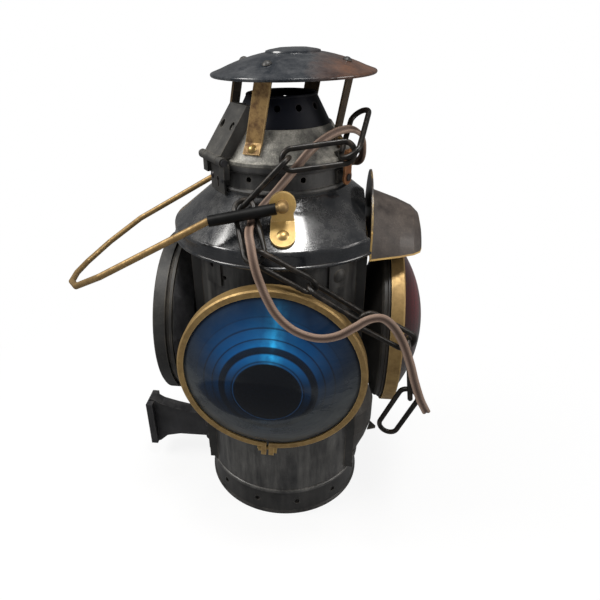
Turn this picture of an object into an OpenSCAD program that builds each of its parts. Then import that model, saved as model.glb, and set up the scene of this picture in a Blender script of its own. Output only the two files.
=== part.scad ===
// Railroad marker lamp: sheet-steel body with two lens housings, a blanked
// third housing, a sliding lens door with a hood, a hinged chimney lid under
// a dished cap, a wire bail and a swag chain with its lamp cord.
// Millimetres. +Z up, front lens looks along -Y, the sliding door faces +X.
// The origin is the centre of the foot's lower face.

/* [Body] */
// Outer radius of the barrel
barrel_r = 71.4; // [68:0.1:76]
// Sheet thickness of the barrel
barrel_wall = 1.5; // [1:0.1:2.4]
// Height of the barrel above the foot
barrel_h = 244; // [236:1:260]
// Height of the foot skirt
foot_h = 25; // [20:0.5:32]
// Radius of the foot where it stands
foot_r = 72.4; // [70:0.1:78]
// Sheet thickness of the foot
foot_wall = 2; // [1.4:0.1:3]
// Radius of the shoulder's eave
eave_r = 85.4; // [82:0.1:92]
// Height of the shoulder's upright eave band
eave_band = 9.5; // [8:0.5:12]
// Depth the eave hangs below the barrel's top edge
eave_drop = 17; // [12:0.5:22]
// Outer radius of the collar
collar_r = 50; // [46:0.5:54]
// Height of the collar above the barrel's top edge
collar_h = 42; // [38:0.5:50]
// Sheet thickness of shoulder and collar
top_wall = 1.2; // [0.9:0.1:2]
// Number of vent holes round the collar
collar_vents = 8; // [4:1:16]

/* [Lens housings] */
// Height of the lens axes above the stand
lens_z = 171.9; // [150:0.5:180]
// Distance of each brass bezel's face from the lamp's axis
face_d = 95.6; // [90:0.5:104]
// Outer radius of the bezels
bezel_r = 70; // [68:0.5:74]
// Width of the bezel bands
bezel_w = 10; // [7:0.5:14]
// Radius of the clear glass inside a bezel
glass_r = 65; // [60:0.5:66]
// Radius of the housing where it meets the body
neck_r = 37; // [32:0.5:40]
// Bulge of the lenses in front of their rims
lens_sag = 23; // [15:0.5:28]
// Thickness of the lens glass
glass_t = 4; // [3:0.25:6]
// Number of stepped rings inside each lens
lens_steps = 6; // [3:1:9]

/* [Sliding door] */
// Depth of the door sheet's inner face inside the barrel's round
door_inset = 7.5; // [5.5:0.1:9]
// Width of the door sheet
door_w = 72; // [70:1:80]
// Height of the door sheet
door_h = 217; // [205:1:224]
// Thickness of the door sheet
door_t = 1.2; // [1:0.1:1.6]
// Running gap between the door and its guides
door_gap = 0.4; // [0.3:0.05:0.8]
// Width of the hood's back plate
hood_w = 104; // [90:1:106]
// Height of the hood's back plate
hood_h = 49; // [44:1:60]
// Reach of the hood in front of its back plate
hood_reach = 40; // [30:1:46]

/* [Lid and cap] */
// Height of the lid's lower skirt
skirt_h = 22; // [18:0.5:26]
// Radius of the chimney's open top
flue_r = 25; // [20:0.5:30]
// Height of the chimney cone's top above the lid's lower edge
flue_h = 42; // [38:0.5:48]
// Radius of the cap
cap_r = 57.5; // [50:0.5:60]
// Height of the cap's rim above the lid's lower edge
cap_lift = 55.7; // [52:0.5:66]
// Rise of the cap's dome
cap_dome = 14; // [8:0.5:20]
// Sideways lean of the cap on its straps
cap_lean = 8.3; // [0:0.1:8.5]
// Width of the cap's straps
strap_w = 12.5; // [9:0.5:15]
// Thickness of the cap's straps
strap_t = 1.6; // [1:0.1:2.4]

/* [Bail] */
// Distance of the ears from the lamp's axis
ear_d = 66.4; // [65:0.1:68]
// Height of the ears' eyes above the barrel's top edge
ear_z = 22; // [20:0.5:26]
// Thickness of the ears
ear_t = 3; // [2:0.25:3.5]
// Radius of an ear round its eye
ear_r = 9; // [7.5:0.25:10.5]
// Radius of the wrapped bail end in the eye
eye_pin_r = 4.05; // [3:0.05:4.6]
// Diameter of the bail wire
bail_d = 5; // [4:0.25:6]
// Reach of the bail from its pivot
bail_len = 193; // [180:1:205]

/* [Chain and cord] */
// Outer length of a chain link
link_l = 51; // [48:0.5:52]
// Outer width of a chain link
link_w = 17.5; // [17:0.5:18]
// Diameter of the chain's wire
link_d = 3.7; // [3.3:0.1:3.8]
// Width of the flat two-core cord
cord_w = 6; // [5:0.5:7]

/* [Side bracket] */
// Reach of the bracket's end plate from the lamp's axis
bracket_x = 137; // [125:1:150]
// Height of the bracket's end plate
bracket_h = 56; // [44:1:60]
// Width of the bracket's end plate
bracket_w = 24; // [20:1:36]
// Thickness of the bracket's arm
bracket_t = 12; // [8:0.5:16]
// Height of the bracket's arm at the body
bracket_root = 29; // [22:1:34]
// Height of the bracket's middle above the stand
bracket_z = 41.5; // [40:0.5:50]

/* [Hidden] */
$fn = 72;

// Levels
z_barrel = foot_h + barrel_h;
z_eave = z_barrel - eave_drop;
z_collar = z_barrel + collar_h;
fit = 0.15;        // gap between sheets that slip over each other
seat = 0.3;        // gap between pieces that move against each other
z_lid = z_collar + seat;
z_cap = z_lid + cap_lift;
barrel_in = barrel_r - barrel_wall;
door_x = barrel_r - door_inset;

function unit(v) = v / norm(v);
function dir(az) = [sin(az), -cos(az), 0];   // az from the front, to the right
function lerp(a, b, t) = a + (b - a) * t;

// Places its children with their z along z and their x near x
module at(o, z, x = [1, 0, 0.001]) {
    zz = unit(z);
    xx = unit(x - (x * zz) * zz);
    yy = cross(zz, xx);
    multmatrix([[xx[0], yy[0], zz[0], o[0]], [xx[1], yy[1], zz[1], o[1]],
                [xx[2], yy[2], zz[2], o[2]], [0, 0, 0, 1]]) children();
}
// Round bar between two points
module rod(p, q, r) at(p, q - p, [0.013, 0.02, 1]) cylinder(h = norm(q - p), r = r, $fn = 32);
// Wire along a list of points, with round corners
module wire(pts, r) {
    for (i = [0:len(pts) - 2]) rod(pts[i], pts[i + 1], r);
    for (p = pts) translate(p) sphere(r = r + 0.02, $fn = 32);
}
// Low domed rivet head with its shank below the surface
module rivet(r, h, shank = 0, sr = 1.5) {
    rho = (r * r + h * h) / (2 * h);
    intersection() {
        translate([0, 0, h - rho]) sphere(r = rho, $fn = 32);
        cylinder(h = h, r = r, $fn = 32);
    }
    if (shank > 0) translate([0, 0, -shank]) cylinder(h = shank + 0.01, r = sr, $fn = 24);
}
// Revolved profile whose height runs outwards along a housing's axis
module along_y() rotate([90, 0, 0]) children();
module front_pose() translate([0, 0, lens_z]) rotate([90, 0, 0]) children();
module right_pose() translate([0, 0, lens_z]) rotate([0, 90, 0]) children();
module left_pose() translate([0, 0, lens_z]) rotate([0, -90, 0]) children();

// Foot and floor
// The foot's skirt leans in a little and ends in a flat seat for the barrel
module foot() color("#2b2a28") {
    rim = 1.2;
    top_r = barrel_r - 1;
    difference() {
        rotate_extrude()
            polygon([[foot_r - foot_wall - 1.5, 0], [foot_r, 0], [foot_r, 1.6], [foot_r - rim, 3.2],
                [top_r, foot_h - 2], [top_r, foot_h], [barrel_in - 9, foot_h],
                [barrel_in - 9, foot_h - foot_wall], [top_r - foot_wall, foot_h - foot_wall],
                [foot_r - rim - foot_wall, 3.2], [foot_r - foot_wall - 1.5, 2]]);
        for (a = [0:30:330]) rotate([0, 0, a + 15]) translate([top_r - 9, 0, foot_h / 2 + 1])
            rotate([0, 90, 0]) cylinder(h = 20, r = 2.5, $fn = 24);
    }
}
floor_r = barrel_in - fit;
module floor_pan() color("#4a4742") {
    difference() {
        rotate_extrude()
            polygon([[0, foot_h], [floor_r, foot_h], [floor_r, foot_h + 7], [floor_r - 1, foot_h + 7],
                [floor_r - 1, foot_h + 1.5], [0, foot_h + 1.5]]);
        translate([0, 0, foot_h - 1]) cylinder(h = 4, r = post_r - post_wall);
    }
}

// Barrel: rolled sheet with a bead above the foot, lens openings and the flat
// side that the sliding door closes
bead_r = 2;
cut_x = door_x - door_gap + 0.1;
neck_bore = neck_r - 5;
neck_front = door_x + 2;
module barrel_blank() {
    rotate_extrude() {
        translate([barrel_in, foot_h]) square([barrel_wall, barrel_h]);
        intersection() {
            translate([barrel_r - 0.6, foot_h + bead_r + 0.5]) circle(r = bead_r, $fn = 32);
            translate([barrel_in, foot_h]) square([8, 8]);
        }
    }
    // pressed ridge and square pads over the corners between the housings
    for (az = [40, -40]) intersection() {
        rotate([0, 0, az - 90]) translate([0, -9, 0]) {
            translate([barrel_r - 4, 0, pad_z - 9]) cube([6.2, 18, 18]);
            translate([barrel_r - 4, -2, pad_z + 13]) cube([6.4, 22, 2.6]);
        }
        difference() {
            cylinder(h = 300, r = barrel_r + 1.6);
            cylinder(h = 300, r = barrel_r - 0.4);
        }
    }
}
pad_z = z_barrel - 33.5;
module barrel() color("#33332f") {
    difference() {
        barrel_blank();
        front_pose() cylinder(h = 90, r = neck_bore);
        // the open side behind the door, and the fixed panel on the left
        translate([cut_x, -50, z_door - 0.4]) cube([30, 100, 300]);
        translate([-cut_x - 30, -50, z_door - 0.4]) cube([30, 100, guide_h - 1.2]);
        for (p = pad_rivets()) pad_at(p) translate([0, 0, -6]) cylinder(h = 12, r = 1.6 + fit, $fn = 24);
    }
}

// Guides: upright channels that hold the door's two edges
guide_y = door_w / 2 + door_gap;
guide_lip = 2.8;
guide_out = door_x + door_t + door_gap;
guide_x = guide_out + 1.3;
z_door = foot_h + 8;
module guide_rail(zz, h) {
    difference() {
        translate([0, 0, zz]) linear_extrude(height = h)
            polygon([[barrel_r - 22, guide_y], [guide_out, guide_y], [guide_out, guide_y - guide_lip],
                [guide_x, guide_y - guide_lip], [guide_x, guide_y + 3.4], [barrel_r - 22, guide_y + 3.4]]);
        translate([0, 0, zz - 1]) cylinder(h = h + 2, r = barrel_r);
    }
}
guide_h = z_eave - 4 - z_door;
module door_guides() color("#1b1b1b") for (s = [0, 1]) mirror([0, s, 0]) guide_rail(z_door, guide_h);
module panel_guides() color("#1b1b1b") mirror([1, 0, 0])
    for (s = [0, 1]) mirror([0, s, 0]) guide_rail(z_door, guide_h);

// Shoulder: conical roof over the barrel with an upright eave and a rolled
// edge, cut flat on the right so that the door and its hood can rise
knee = 1.4;
knee_z = z_eave + eave_band + 2.9;
cone_r0 = eave_r - knee;
cone_top = z_barrel + 21.5;
cone_r1 = collar_r + fit + 1.2;
slope = (cone_top - knee_z) / (cone_r0 - cone_r1);
function cone_z(r) = knee_z + (cone_r0 - r) * slope;
function roof_knee() = [for (a = [0:22.5:90]) [cone_r0 + knee * cos(a), z_eave + eave_band + (knee_z - z_eave - eave_band) * sin(a)]];
function cone_in(r) = cone_z(r) - top_wall * sqrt(1 + slope * slope);
spigot_r = barrel_in - fit;
module shoulder() color("#23252a") {
    difference() {
        rotate_extrude() {
            // roof sheet
            polygon(concat(
                [[eave_r - top_wall, z_eave], [eave_r, z_eave]], roof_knee(),
                [[cone_r1, cone_z(cone_r1)], [cone_r1, cone_top + 2],
                 [collar_r + fit, cone_top + 2], [collar_r + fit, cone_in(collar_r + fit)],
                 [cone_r0 - 0.4, cone_in(cone_r0 - 0.4)], [eave_r - top_wall, z_eave + eave_band - 1]]));
            // rolled edge
            translate([eave_r - 0.5, z_eave + 0.6]) circle(r = 1.5, $fn = 24);
            // inner ring that slips into the barrel and seats on its edge
            polygon([[spigot_r - 1.2, z_barrel - 6], [spigot_r, z_barrel - 6], [spigot_r, z_barrel],
                [barrel_r + 0.6, z_barrel], [barrel_r + 0.6, cone_in(barrel_r + 0.6) + 0.4],
                [spigot_r - 1.2, cone_in(spigot_r - 1.2) + 0.4]]);
        }
        translate([cut_x, -hood_w / 2 - 0.8, z_eave - 10]) cube([60, hood_w + 1.6, 80]);
    }
}

// Collar with its lower bead, vent holes and turned flange
module collar() color("#3c3b3a") {
    z0 = z_barrel + 14;
    bead_z = cone_top + 2;
    difference() {
        rotate_extrude()
            polygon([[collar_r - top_wall, z0], [collar_r, z0], [collar_r, bead_z], [collar_r + 1.6, bead_z],
                [collar_r + 1.9, bead_z + 1], [collar_r + 1.3, bead_z + 2.2], [collar_r, bead_z + 2.8],
                [collar_r - 0.8, z_collar - 5.4], [collar_r + 1.4, z_collar - 4.4], [collar_r + 2, z_collar - 3],
                [collar_r + 2, z_collar], [collar_r - 3, z_collar], [collar_r - 3, z_collar - 1.2],
                [collar_r - 0.8 - top_wall, z_collar - 2.4], [collar_r - 0.8 - top_wall, z_collar - 5.4]]);
        for (i = [0:collar_vents - 1]) rotate([0, 0, -112 + i * 360 / collar_vents])
            translate([collar_r - 6, 0, z_collar - 9]) rotate([0, 90, 0]) cylinder(h = 12, r = 2, $fn = 24);
        bushing_pose() cylinder(h = 30, r = bush_r + fit, center = true);
        for (p = hinge_rivet_pts()) at(p, dir(hinge_az)) cylinder(h = 12, r = 1.3 + fit, center = true, $fn = 24);
    }
}

// Lens housing: a spun funnel from the body out to the cylindrical lip that
// carries the lens
lip_r = bezel_r - 3;
lip_d0 = face_d - 15.6;
lip_d1 = face_d - 3.9;
neck_t = 1.4;
neck_d = door_x + door_t;
neck_side = guide_y - guide_lip - 0.6;   // radius that passes between the guides
neck_end = guide_x + 0.5;
module housing_profile(d0, r0, dn) {
    polygon([[r0 - neck_t, d0], [r0, d0], [r0, dn], [lip_r - 1.2, lip_d0 - 0.8], [lip_r, lip_d0 + 0.8], [lip_r, lip_d0 + 3],
        [lip_r + 1, lip_d0 + 3.6], [lip_r + 1, lip_d0 + 4.8], [lip_r, lip_d0 + 5.4],
        [lip_r, lip_d1], [lip_r - neck_t, lip_d1],
        [lip_r - neck_t, lip_d0 + 1.6], [r0 - neck_t, dn + 1.6]]);
}
module saddle() cylinder(h = 400, r = barrel_r);
module front_housing() color("#3a362f") difference() {
    front_pose() rotate_extrude() housing_profile(55, neck_bore + neck_t, neck_front);
    saddle();
}
module left_housing() color("#2a2a2a") left_pose() rotate_extrude() housing_profile(neck_d, neck_side, neck_end);
// Bezel: a band with a turned-in face, split and drawn together by a screw
bez_t = 1.6;
lug_w = 4;
module bezel_ring() {
    rotate_extrude()
        polygon([[bezel_r - bez_t, face_d - bezel_w], [bezel_r, face_d - bezel_w], [bezel_r, face_d - 1],
            [bezel_r - 1, face_d], [glass_r, face_d], [glass_r, face_d - bez_t],
            [bezel_r - bez_t, face_d - bez_t]]);
}
// a is the angle of the split, counted in the ring's own plane
module bezel(a) {
    difference() {
        union() {
            bezel_ring();
            rotate([0, 0, a]) for (s = [-1, 1])
                translate([s * (lug_w / 2 + 1) - lug_w / 2, bezel_r - 1, face_d - bezel_w])
                    cube([lug_w, 9.5, bezel_w - 1.5]);
        }
        rotate([0, 0, a]) {
            translate([-1, glass_r - 5, face_d - 20]) cube([2, 25, 30]);
            translate([-12, bezel_r + 4.6, face_d - bezel_w / 2 - 0.8]) rotate([0, 90, 0])
                cylinder(h = 24, r = 1.6 + fit, $fn = 24);
        }
    }
}
// Clamp screw with a slotted head and its square nut
module clamp_screw(a) rotate([0, 0, a]) translate([0, bezel_r + 4.6, face_d - bezel_w / 2 - 0.8])
    rotate([0, 90, 0]) {
        translate([0, 0, -lug_w - 3.4]) cylinder(h = 2 * lug_w + 8, r = 1.6, $fn = 24);
        translate([0, 0, lug_w + 1]) difference() {
            cylinder(h = 2.6, r = 3.2, $fn = 32);
            translate([-0.4, -4, 1.6]) cube([0.8, 8, 2]);
        }
        translate([-2.8, -2.8, -lug_w - 1 - 2.4]) cube([5.6, 5.6, 2.4]);
    }
front_split = 177;
module front_bezel() color("#b8863b") front_pose() bezel(front_split);
module front_clamp_screw() color("#c8a860") front_pose() clamp_screw(front_split);
module left_bezel() color("#1d1d1d") left_pose() bezel(0);
module left_clamp_screw() color("#2a2a2a") left_pose() clamp_screw(0);

// Lens: convex outside, stepped rings inside
lens_edge = 2;
lens_r = glass_r + 1.4;
lens_back = face_d - bez_t - 0.1 - lens_edge;
module lens_profile() {
    R = glass_r - 0.4;
    sag = lens_sag;
    rho = (R * R + sag * sag) / (2 * sag);
    function out(r) = lens_back + lens_edge + sag - rho + sqrt(rho * rho - r * r);
    st = 48 / lens_steps;
    polygon(concat(
        [[0, out(0)]],
        [for (r = [4:4:R - 1]) [r, out(r)]],
        [[R, lens_back + lens_edge], [lens_r, lens_back + lens_edge], [lens_r, lens_back], [60, lens_back]],
        [for (i = [lens_steps - 1:-1:0]) each
            [[12 + (i + 1) * st, out(12 + (i + 1) * st) - glass_t - 3.2], [12 + i * st + 0.6, out(12 + i * st) - glass_t]]],
        [[12, out(12) - glass_t - 4], [7, out(7) - glass_t - 5], [0, out(0) - glass_t - 5.5]]));
}
module front_lens() color("#0e4f9a") front_pose() rotate_extrude() lens_profile();

// Blanked left housing: fixed panel, black bezel, beaten sheet and a strap
module left_panel() color("#2c2c2b") mirror([1, 0, 0]) difference() {
    translate([door_x, -door_w / 2, z_door]) cube([door_t, door_w, guide_h - 2]);
    translate([0, 0, lens_z]) rotate([0, 90, 0]) cylinder(h = 200, r = neck_side - neck_t);
}
module left_blank() color("#55555a") left_pose() rotate_extrude()
    polygon([[0, lens_back - 0.4], [28, lens_back], [lens_r, lens_back], [lens_r, lens_back + lens_edge],
        [44, lens_back + lens_edge + 1], [26, lens_back + lens_edge + 0.4], [0, lens_back + lens_edge - 0.4]]);
cover_d0 = neck_d + 3;
cover_d1 = lip_d0 - 0.4;
module left_cover() color("#74767a") left_pose() difference() {
    translate([0, 0, cover_d0]) rotate([0, 0, 7])
        cylinder(h = cover_d1 - cover_d0, r1 = neck_r + 12.4, r2 = lip_r + 3.4, $fn = 12);
    rotate_extrude() polygon([[0, 50], [neck_r + 8, 50], [neck_r + 8, cover_in(neck_r + 8)], [lip_r - 0.8, lip_d0 - 1.1],
        [lip_r + 0.4, lip_d0 + 0.6], [0, lip_d0 + 0.6]]);
    translate([-100, 0, 0]) rotate([0, 90, 0]) cylinder(h = 200, r = barrel_r + 0.1);
}
function cover_in(r) = neck_end + (r - neck_side) * (lip_d0 - 0.8 - neck_end) / (lip_r - 1.2 - neck_side) - 0.6;
module left_strap() color("#151515") left_pose() rotate_extrude()
    translate([lip_r + 0.2, lip_d0 - 0.2]) polygon([[0, 0.6], [2.2, 0.6], [2.2, 3], [0, 3]]);

// Pads on the barrel between the housings, with their rivets
function pad_rivets() = [[40, pad_z], [-40, pad_z + 6], [-31, pad_z - 2]];
module pad_at(p) at([0, 0, p[1]] + dir(p[0]) * (barrel_r + (abs(p[0]) == 40 ? 1.6 : 0)), dir(p[0]), [0, 0, 1]) children();
module body_rivets() color("#3a3a36") for (p = [pad_rivets()[0]]) pad_at(p) rivet(5.4, 2.2, 5, 1.6);

// Ears: brass plates bent along the roof, with a standing eye for the bail
ear_turn = 6;
eye_z = z_barrel + ear_z;
foot_at = ear_d + 10.5;
ear_lean = atan(slope);
module ear() {
    // standing part
    difference() {
        translate([0, -ear_d + ear_t / 2, 0]) rotate([90, 0, 0]) linear_extrude(height = ear_t) {
            translate([0, eye_z]) circle(r = ear_r);
            polygon([[-7, eye_z - 3], [7, eye_z - 3], [8, cone_z(ear_d) + 0.3], [-8, cone_z(ear_d) + 0.3]]);
        }
        translate([0, -ear_d + 10, eye_z]) rotate([90, 0, 0]) cylinder(h = 20, r = eye_pin_r + 0.05);
        intersection() {
            translate([0, 0, 0]) cylinder(h = cone_z(60), r = 60);
            cube([1, 1, 1]);
        }
    }
    // foot along the roof
    translate([0, -ear_d + ear_t / 2, cone_z(ear_d - ear_t / 2) + 0.15]) rotate([ear_lean, 0, 0]) difference() {
        linear_extrude(height = 2.2) {
            translate([0, -ear_foot]) circle(r = ear_foot_r);
            polygon([[-8, 0], [8, 0], [ear_foot_r, -ear_foot], [-ear_foot_r, -ear_foot]]);
        }
        translate([0, -ear_foot, -1]) cylinder(h = 5, r = 1.8 + fit, $fn = 24);
    }
}
ear_foot = 13;
ear_foot_r = 8.6;
module ear_pair() for (s = [0, 1]) rotate([0, 0, ear_turn + 180 * s]) children();
module ears() color("#c79a45") difference() {
    ear_pair() ear();
    translate([0, 0, 0]) roof_solid();
}
// the roof's outer form, used to trim what sits on it
module roof_solid() rotate_extrude()
    polygon(concat([[0, z_eave], [eave_r, z_eave]], roof_knee(), [[cone_r1, cone_top + 0.02], [0, cone_top + 0.02]]));
module ear_rivets() color("#d8ab55") ear_pair()
    translate([0, -ear_d + ear_t / 2, cone_z(ear_d - ear_t / 2) + 0.15]) rotate([ear_lean, 0, 0])
        translate([0, -ear_foot, 2.2]) rivet(4.2, 1.6, 2.0, 1.8);

// Lid hinge at the left front of the collar
hinge_az = -55;
hinge_r = 6.5 + collar_r;
hinge_z = z_collar + 3;
hinge_w = 38;
pin_r = 1.5;
knuckle_r = 3.2;
module hinge_axis() at([0, 0, hinge_z] + dir(hinge_az) * hinge_r, [cos(hinge_az), sin(hinge_az), 0], [0, 0, 1]) children();
module knuckle(a, b, pr) hinge_axis() translate([0, 0, a]) difference() {
    cylinder(h = b - a, r = knuckle_r);
    translate([0, 0, -1]) cylinder(h = b - a + 2, r = pr);
}
leaf_r = collar_r + 2.2;
leaf_t = 1.6;
function hinge_rivet_pts() = [for (s = [-1, 1]) [0, 0, z_collar - 11] + dir(hinge_az) * leaf_r
    + s * 8.5 * [cos(hinge_az), sin(hinge_az), 0]];
module hinge_leaf() color("#4b4947") difference() {
    union() {
        for (s = [-1, 1]) {
            a = s > 0 ? hinge_w / 2 - 8 : -hinge_w / 2;
            knuckle(a, a + 8, pin_r + 0.02);
        }
        rotate([0, 0, hinge_az]) {
            difference() {
                union() {
                    translate([-12, -leaf_r - leaf_t, z_collar - 21]) cube([24, leaf_t, 20]);
                    // arms of the leaf that reach out to the knuckles
                    for (s = [-1, 1]) translate([s > 0 ? hinge_w / 2 - 8 : -hinge_w / 2, -hinge_r, z_collar - 9])
                        cube([8, hinge_r - leaf_r, 10]);
                }
                translate([-60, -hinge_r, hinge_z]) rotate([0, 90, 0]) cylinder(h = 120, r = pin_r + 0.02);
            }
            // standoffs between the leaf and the collar
            difference() {
                for (s = [-1, 1]) translate([s * 8.5 - 2.5, -leaf_r - 0.5, z_collar - 15]) cube([5, 8, 8.5]);
                cylinder(h = 400, r = collar_r + 0.02);
            }
        }
    }
    // keyhole slot
    rotate([0, 0, hinge_az]) translate([1, -leaf_r - 6, z_collar - 12]) rotate([-90, 0, 0]) {
        cylinder(h = 12, r = 2, $fn = 24);
        translate([-1, 0, 0]) cube([2, 6, 12]);
    }
    for (p = hinge_rivet_pts()) at(p, dir(hinge_az)) cylinder(h = 12, r = 1.3 + fit, center = true, $fn = 24);
}
module leaf_rivets() color("#55524e") for (p = hinge_rivet_pts())
    at(p + dir(hinge_az) * (leaf_t + 0.02), dir(hinge_az), [0, 0, 1]) rivet(2.6, 1.4, leaf_t + 4.2, 1.3);
module hinge_pin() color("#5a5856") hinge_axis() translate([0, 0, -hinge_w / 2 - 1]) {
    cylinder(h = hinge_w + 2, r = pin_r);
    translate([0, 0, -1.2]) cylinder(h = 1.4, r = 2.4);
    translate([0, 0, hinge_w + 1.8]) cylinder(h = 1.4, r = 2.4);
}

// Latch at the right of the collar: a lever that turns sideways off the lid's catch
latch_az = 60;
latch_r = collar_r + 5.5;
latch_z = z_barrel + 31;
latch_w = 9;
latch_t = 1.5;
latch_stud = 1.2;
boss_r = 4.2;
module latch_axis() at([0, 0, latch_z] + dir(latch_az) * latch_r, dir(latch_az), [0, 0, 1]) children();
module latch_bore() latch_axis() translate([0, 0, -20]) cylinder(h = 40, r = latch_stud + 0.06, $fn = 32);
module latch_bracket() color("#45403a") difference() {
    union() {
        latch_axis() translate([0, 0, collar_r - latch_r - 1]) cylinder(h = latch_r - collar_r + 1 + seat, r = boss_r);
        rotate([0, 0, latch_az]) translate([-boss_r - 0.4, -collar_r - 1.6, latch_z - boss_r])
            cube([2 * boss_r + 0.8, 4, 2 * boss_r + 1]);
    }
    cylinder(h = 400, r = collar_r + 0.02);
    latch_bore();
}
latch_face = 2 * seat;
module latch_pin() color("#6b6256") latch_axis() {
    translate([0, 0, collar_r + 0.1 - latch_r])
        cylinder(h = latch_r - collar_r + latch_face + latch_t + 0.1, r = latch_stud, $fn = 32);
    translate([0, 0, latch_face + latch_t + 0.1]) cylinder(h = 0.9, r = 2.6, $fn = 32);
}
latch_h = z_lid + 8 - latch_z;
module latch() color("#8a5a34") {
    difference() {
        union() {
            latch_axis() translate([0, 0, latch_face]) cylinder(h = latch_t, r = latch_w / 2 + 0.7);
            rotate([0, 0, latch_az]) translate([-latch_w / 2, -latch_r - latch_face - latch_t, latch_z])
                cube([latch_w, latch_t, latch_h]);
        }
        latch_bore();
    }
    // thumb tab
    rotate([0, 0, latch_az]) translate([-latch_w / 2, -latch_r - 4.6, latch_z + latch_h - 1.5])
        rotate([-20, 0, 0]) cube([latch_w, 4, 1.5]);
}
// block on the lid's edge that the latch bears on
module latch_catch() color("#1c1b1a") rotate([0, 0, latch_az]) difference() {
    translate([-4, -latch_r - 0.3, z_lid + 1]) cube([8, 12, 5.2]);
    rotate([0, 0, -latch_az]) lid_env();
}

// Lid: lower skirt, chimney cone and hinge arm
skirt_r0 = collar_r + 1.5;
skirt_r1 = flue_r + 12;
lid_in_t = 1.2;
sk = (skirt_r0 - 1.9 - skirt_r1) / (skirt_h - 3.4);
function skirt_r(h) = skirt_r1 + (skirt_h - h) * sk;
flue_r0 = skirt_r1 + 0.2;
flue_z0 = skirt_h - 3;
function flue_at(h) = lerp(flue_r0, flue_r, (h - flue_z0) / (flue_h - flue_z0));
module lid_env() translate([0, 0, z_lid]) rotate_extrude()
    polygon([[0, 0], [skirt_r0, 0], [skirt_r0, 2.2], [skirt_r(3.4), 3.4], [skirt_r1, skirt_h],
        [flue_at(skirt_h), skirt_h], [flue_r, flue_h], [0, flue_h]]);
module lid_skirt() color("#6e6f6c") difference() {
    translate([0, 0, z_lid]) rotate_extrude()
        polygon([[skirt_r0 - lid_in_t, 0], [skirt_r0, 0], [skirt_r0, 2.2], [skirt_r(3.4), 3.4],
            [skirt_r1, skirt_h], [skirt_r1 - lid_in_t * 1.2, skirt_h], [skirt_r(3.4) - lid_in_t * 1.2, 3.4],
            [skirt_r0 - lid_in_t, 2.0]]);
    translate([0, 0, z_lid]) rotate_extrude()
        polygon([[0, flue_z0 - 1], [flue_at(flue_z0) + fit, flue_z0 - 1], [flue_at(flue_z0) + fit, flue_z0],
            [flue_at(flue_h) + fit, flue_h], [0, flue_h]]);
    for (p = strap_rivet_pts()) at(p[0], p[1]) cylinder(h = 12, r = 1.4 + fit, center = true, $fn = 24);
}
module flue_cone() color("#15171f") translate([0, 0, z_lid]) difference() {
    rotate_extrude() {
        polygon([[flue_r0 - 1.3, flue_z0], [flue_r0, flue_z0], [flue_r, flue_h], [flue_r - 1.3, flue_h]]);
        translate([flue_r - 0.2, flue_h - 0.6]) circle(r = 1, $fn = 24);
    }
    for (a = [0:30:330]) rotate([0, 0, a]) translate([0, 0, flue_h - 7.5]) rotate([0, 90, 0])
        cylinder(h = 60, r = 2.2, $fn = 24);
}
// Raised arm from the hinge up to the chimney, with its side flanges
arm_w = 27;
module lid_arm() color("#57565a") difference() {
    union() {
        hinge_axis() translate([0, 0, -hinge_w / 2 + 8.4]) cylinder(h = hinge_w - 16.8, r = knuckle_r);
        rotate([0, 0, hinge_az]) difference() {
            union() {
                // web over the top and the two flanges, as one bent sheet
                rotate([90, 0, 90]) translate([0, 0, -arm_w / 2]) difference() {
                    linear_extrude(height = arm_w) polygon(arm_line());
                    translate([0, 0, 1.3]) linear_extrude(height = arm_w - 2.6) polygon(arm_inner());
                }
                translate([-hinge_w / 2 + 8.4, -hinge_r - 0.5, hinge_z - 0.4]) cube([hinge_w - 16.8, 4.6, 3.4]);
            }
            rotate([0, 0, -hinge_az]) lid_env();
            hinge_cut();
            for (s = [-1, 1]) translate([s * 8, -60, z_lid + 24]) rotate([-90, 0, 0]) cylinder(h = 45, r = 2.6, $fn = 24);
        }
    }
    hinge_axis() translate([0, 0, -hinge_w]) cylinder(h = 2 * hinge_w, r = pin_r + 0.05);
}
function arm_line() = [[-hinge_r - 1.5, hinge_z + 1.2], [-flue_r - 9.5, z_lid + flue_h - 5],
    [-flue_r + 4, z_lid + flue_h - 7], [-skirt_r1 + 8, z_lid + skirt_h - 4], [-skirt_r(4) + 2, z_lid + 4.4],
    [-hinge_r + 3, hinge_z + 1.2]];
function arm_inner() = [[-hinge_r + 0.9, hinge_z + 2.6], [-flue_r - 8.4, z_lid + flue_h - 6.2],
    [-flue_r + 6, z_lid + flue_h - 8.6], [-skirt_r1 + 12, z_lid + skirt_h - 4], [-skirt_r(4) + 9, z_lid + 4.4],
    [-hinge_r + 5, hinge_z + 2.6]];
module hinge_cut() translate([-60, -hinge_r, hinge_z]) rotate([0, 90, 0]) {
    cylinder(h = 60 - hinge_w / 2 + 8.3, r = knuckle_r + 0.4);
    translate([0, 0, 60 + hinge_w / 2 - 8.3]) cylinder(h = 60, r = knuckle_r + 0.4);
}

// Straps: a foot along the skirt, a riser that leans with the cap, and a tab
// under the dome
strap_az = [-20, 70, 160, 250];
sk_n = unit([1, 0, sk]);            // outward normal of the skirt in its own plane
foot_h0 = 7;
foot_h1 = 14;
rivet_h = 10.2;
cap_o = [cap_lean, 0, 0];
riser_r = skirt_r(foot_h1) + 1.4;
function dome_z(r) = z_cap + cap_dome * (1 - (r / cap_r) * (r / cap_r));
tab_r = riser_r - 8;
function skin(az, h, off) = dir(az) * (skirt_r(h) + off * sk_n[0]) + [0, 0, z_lid + h + off * sk_n[2]];
function under(az, r, off) = cap_o + dir(az) * r + [0, 0, dome_z(r) - cap_t - off];
cap_t = 1.2;
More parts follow.
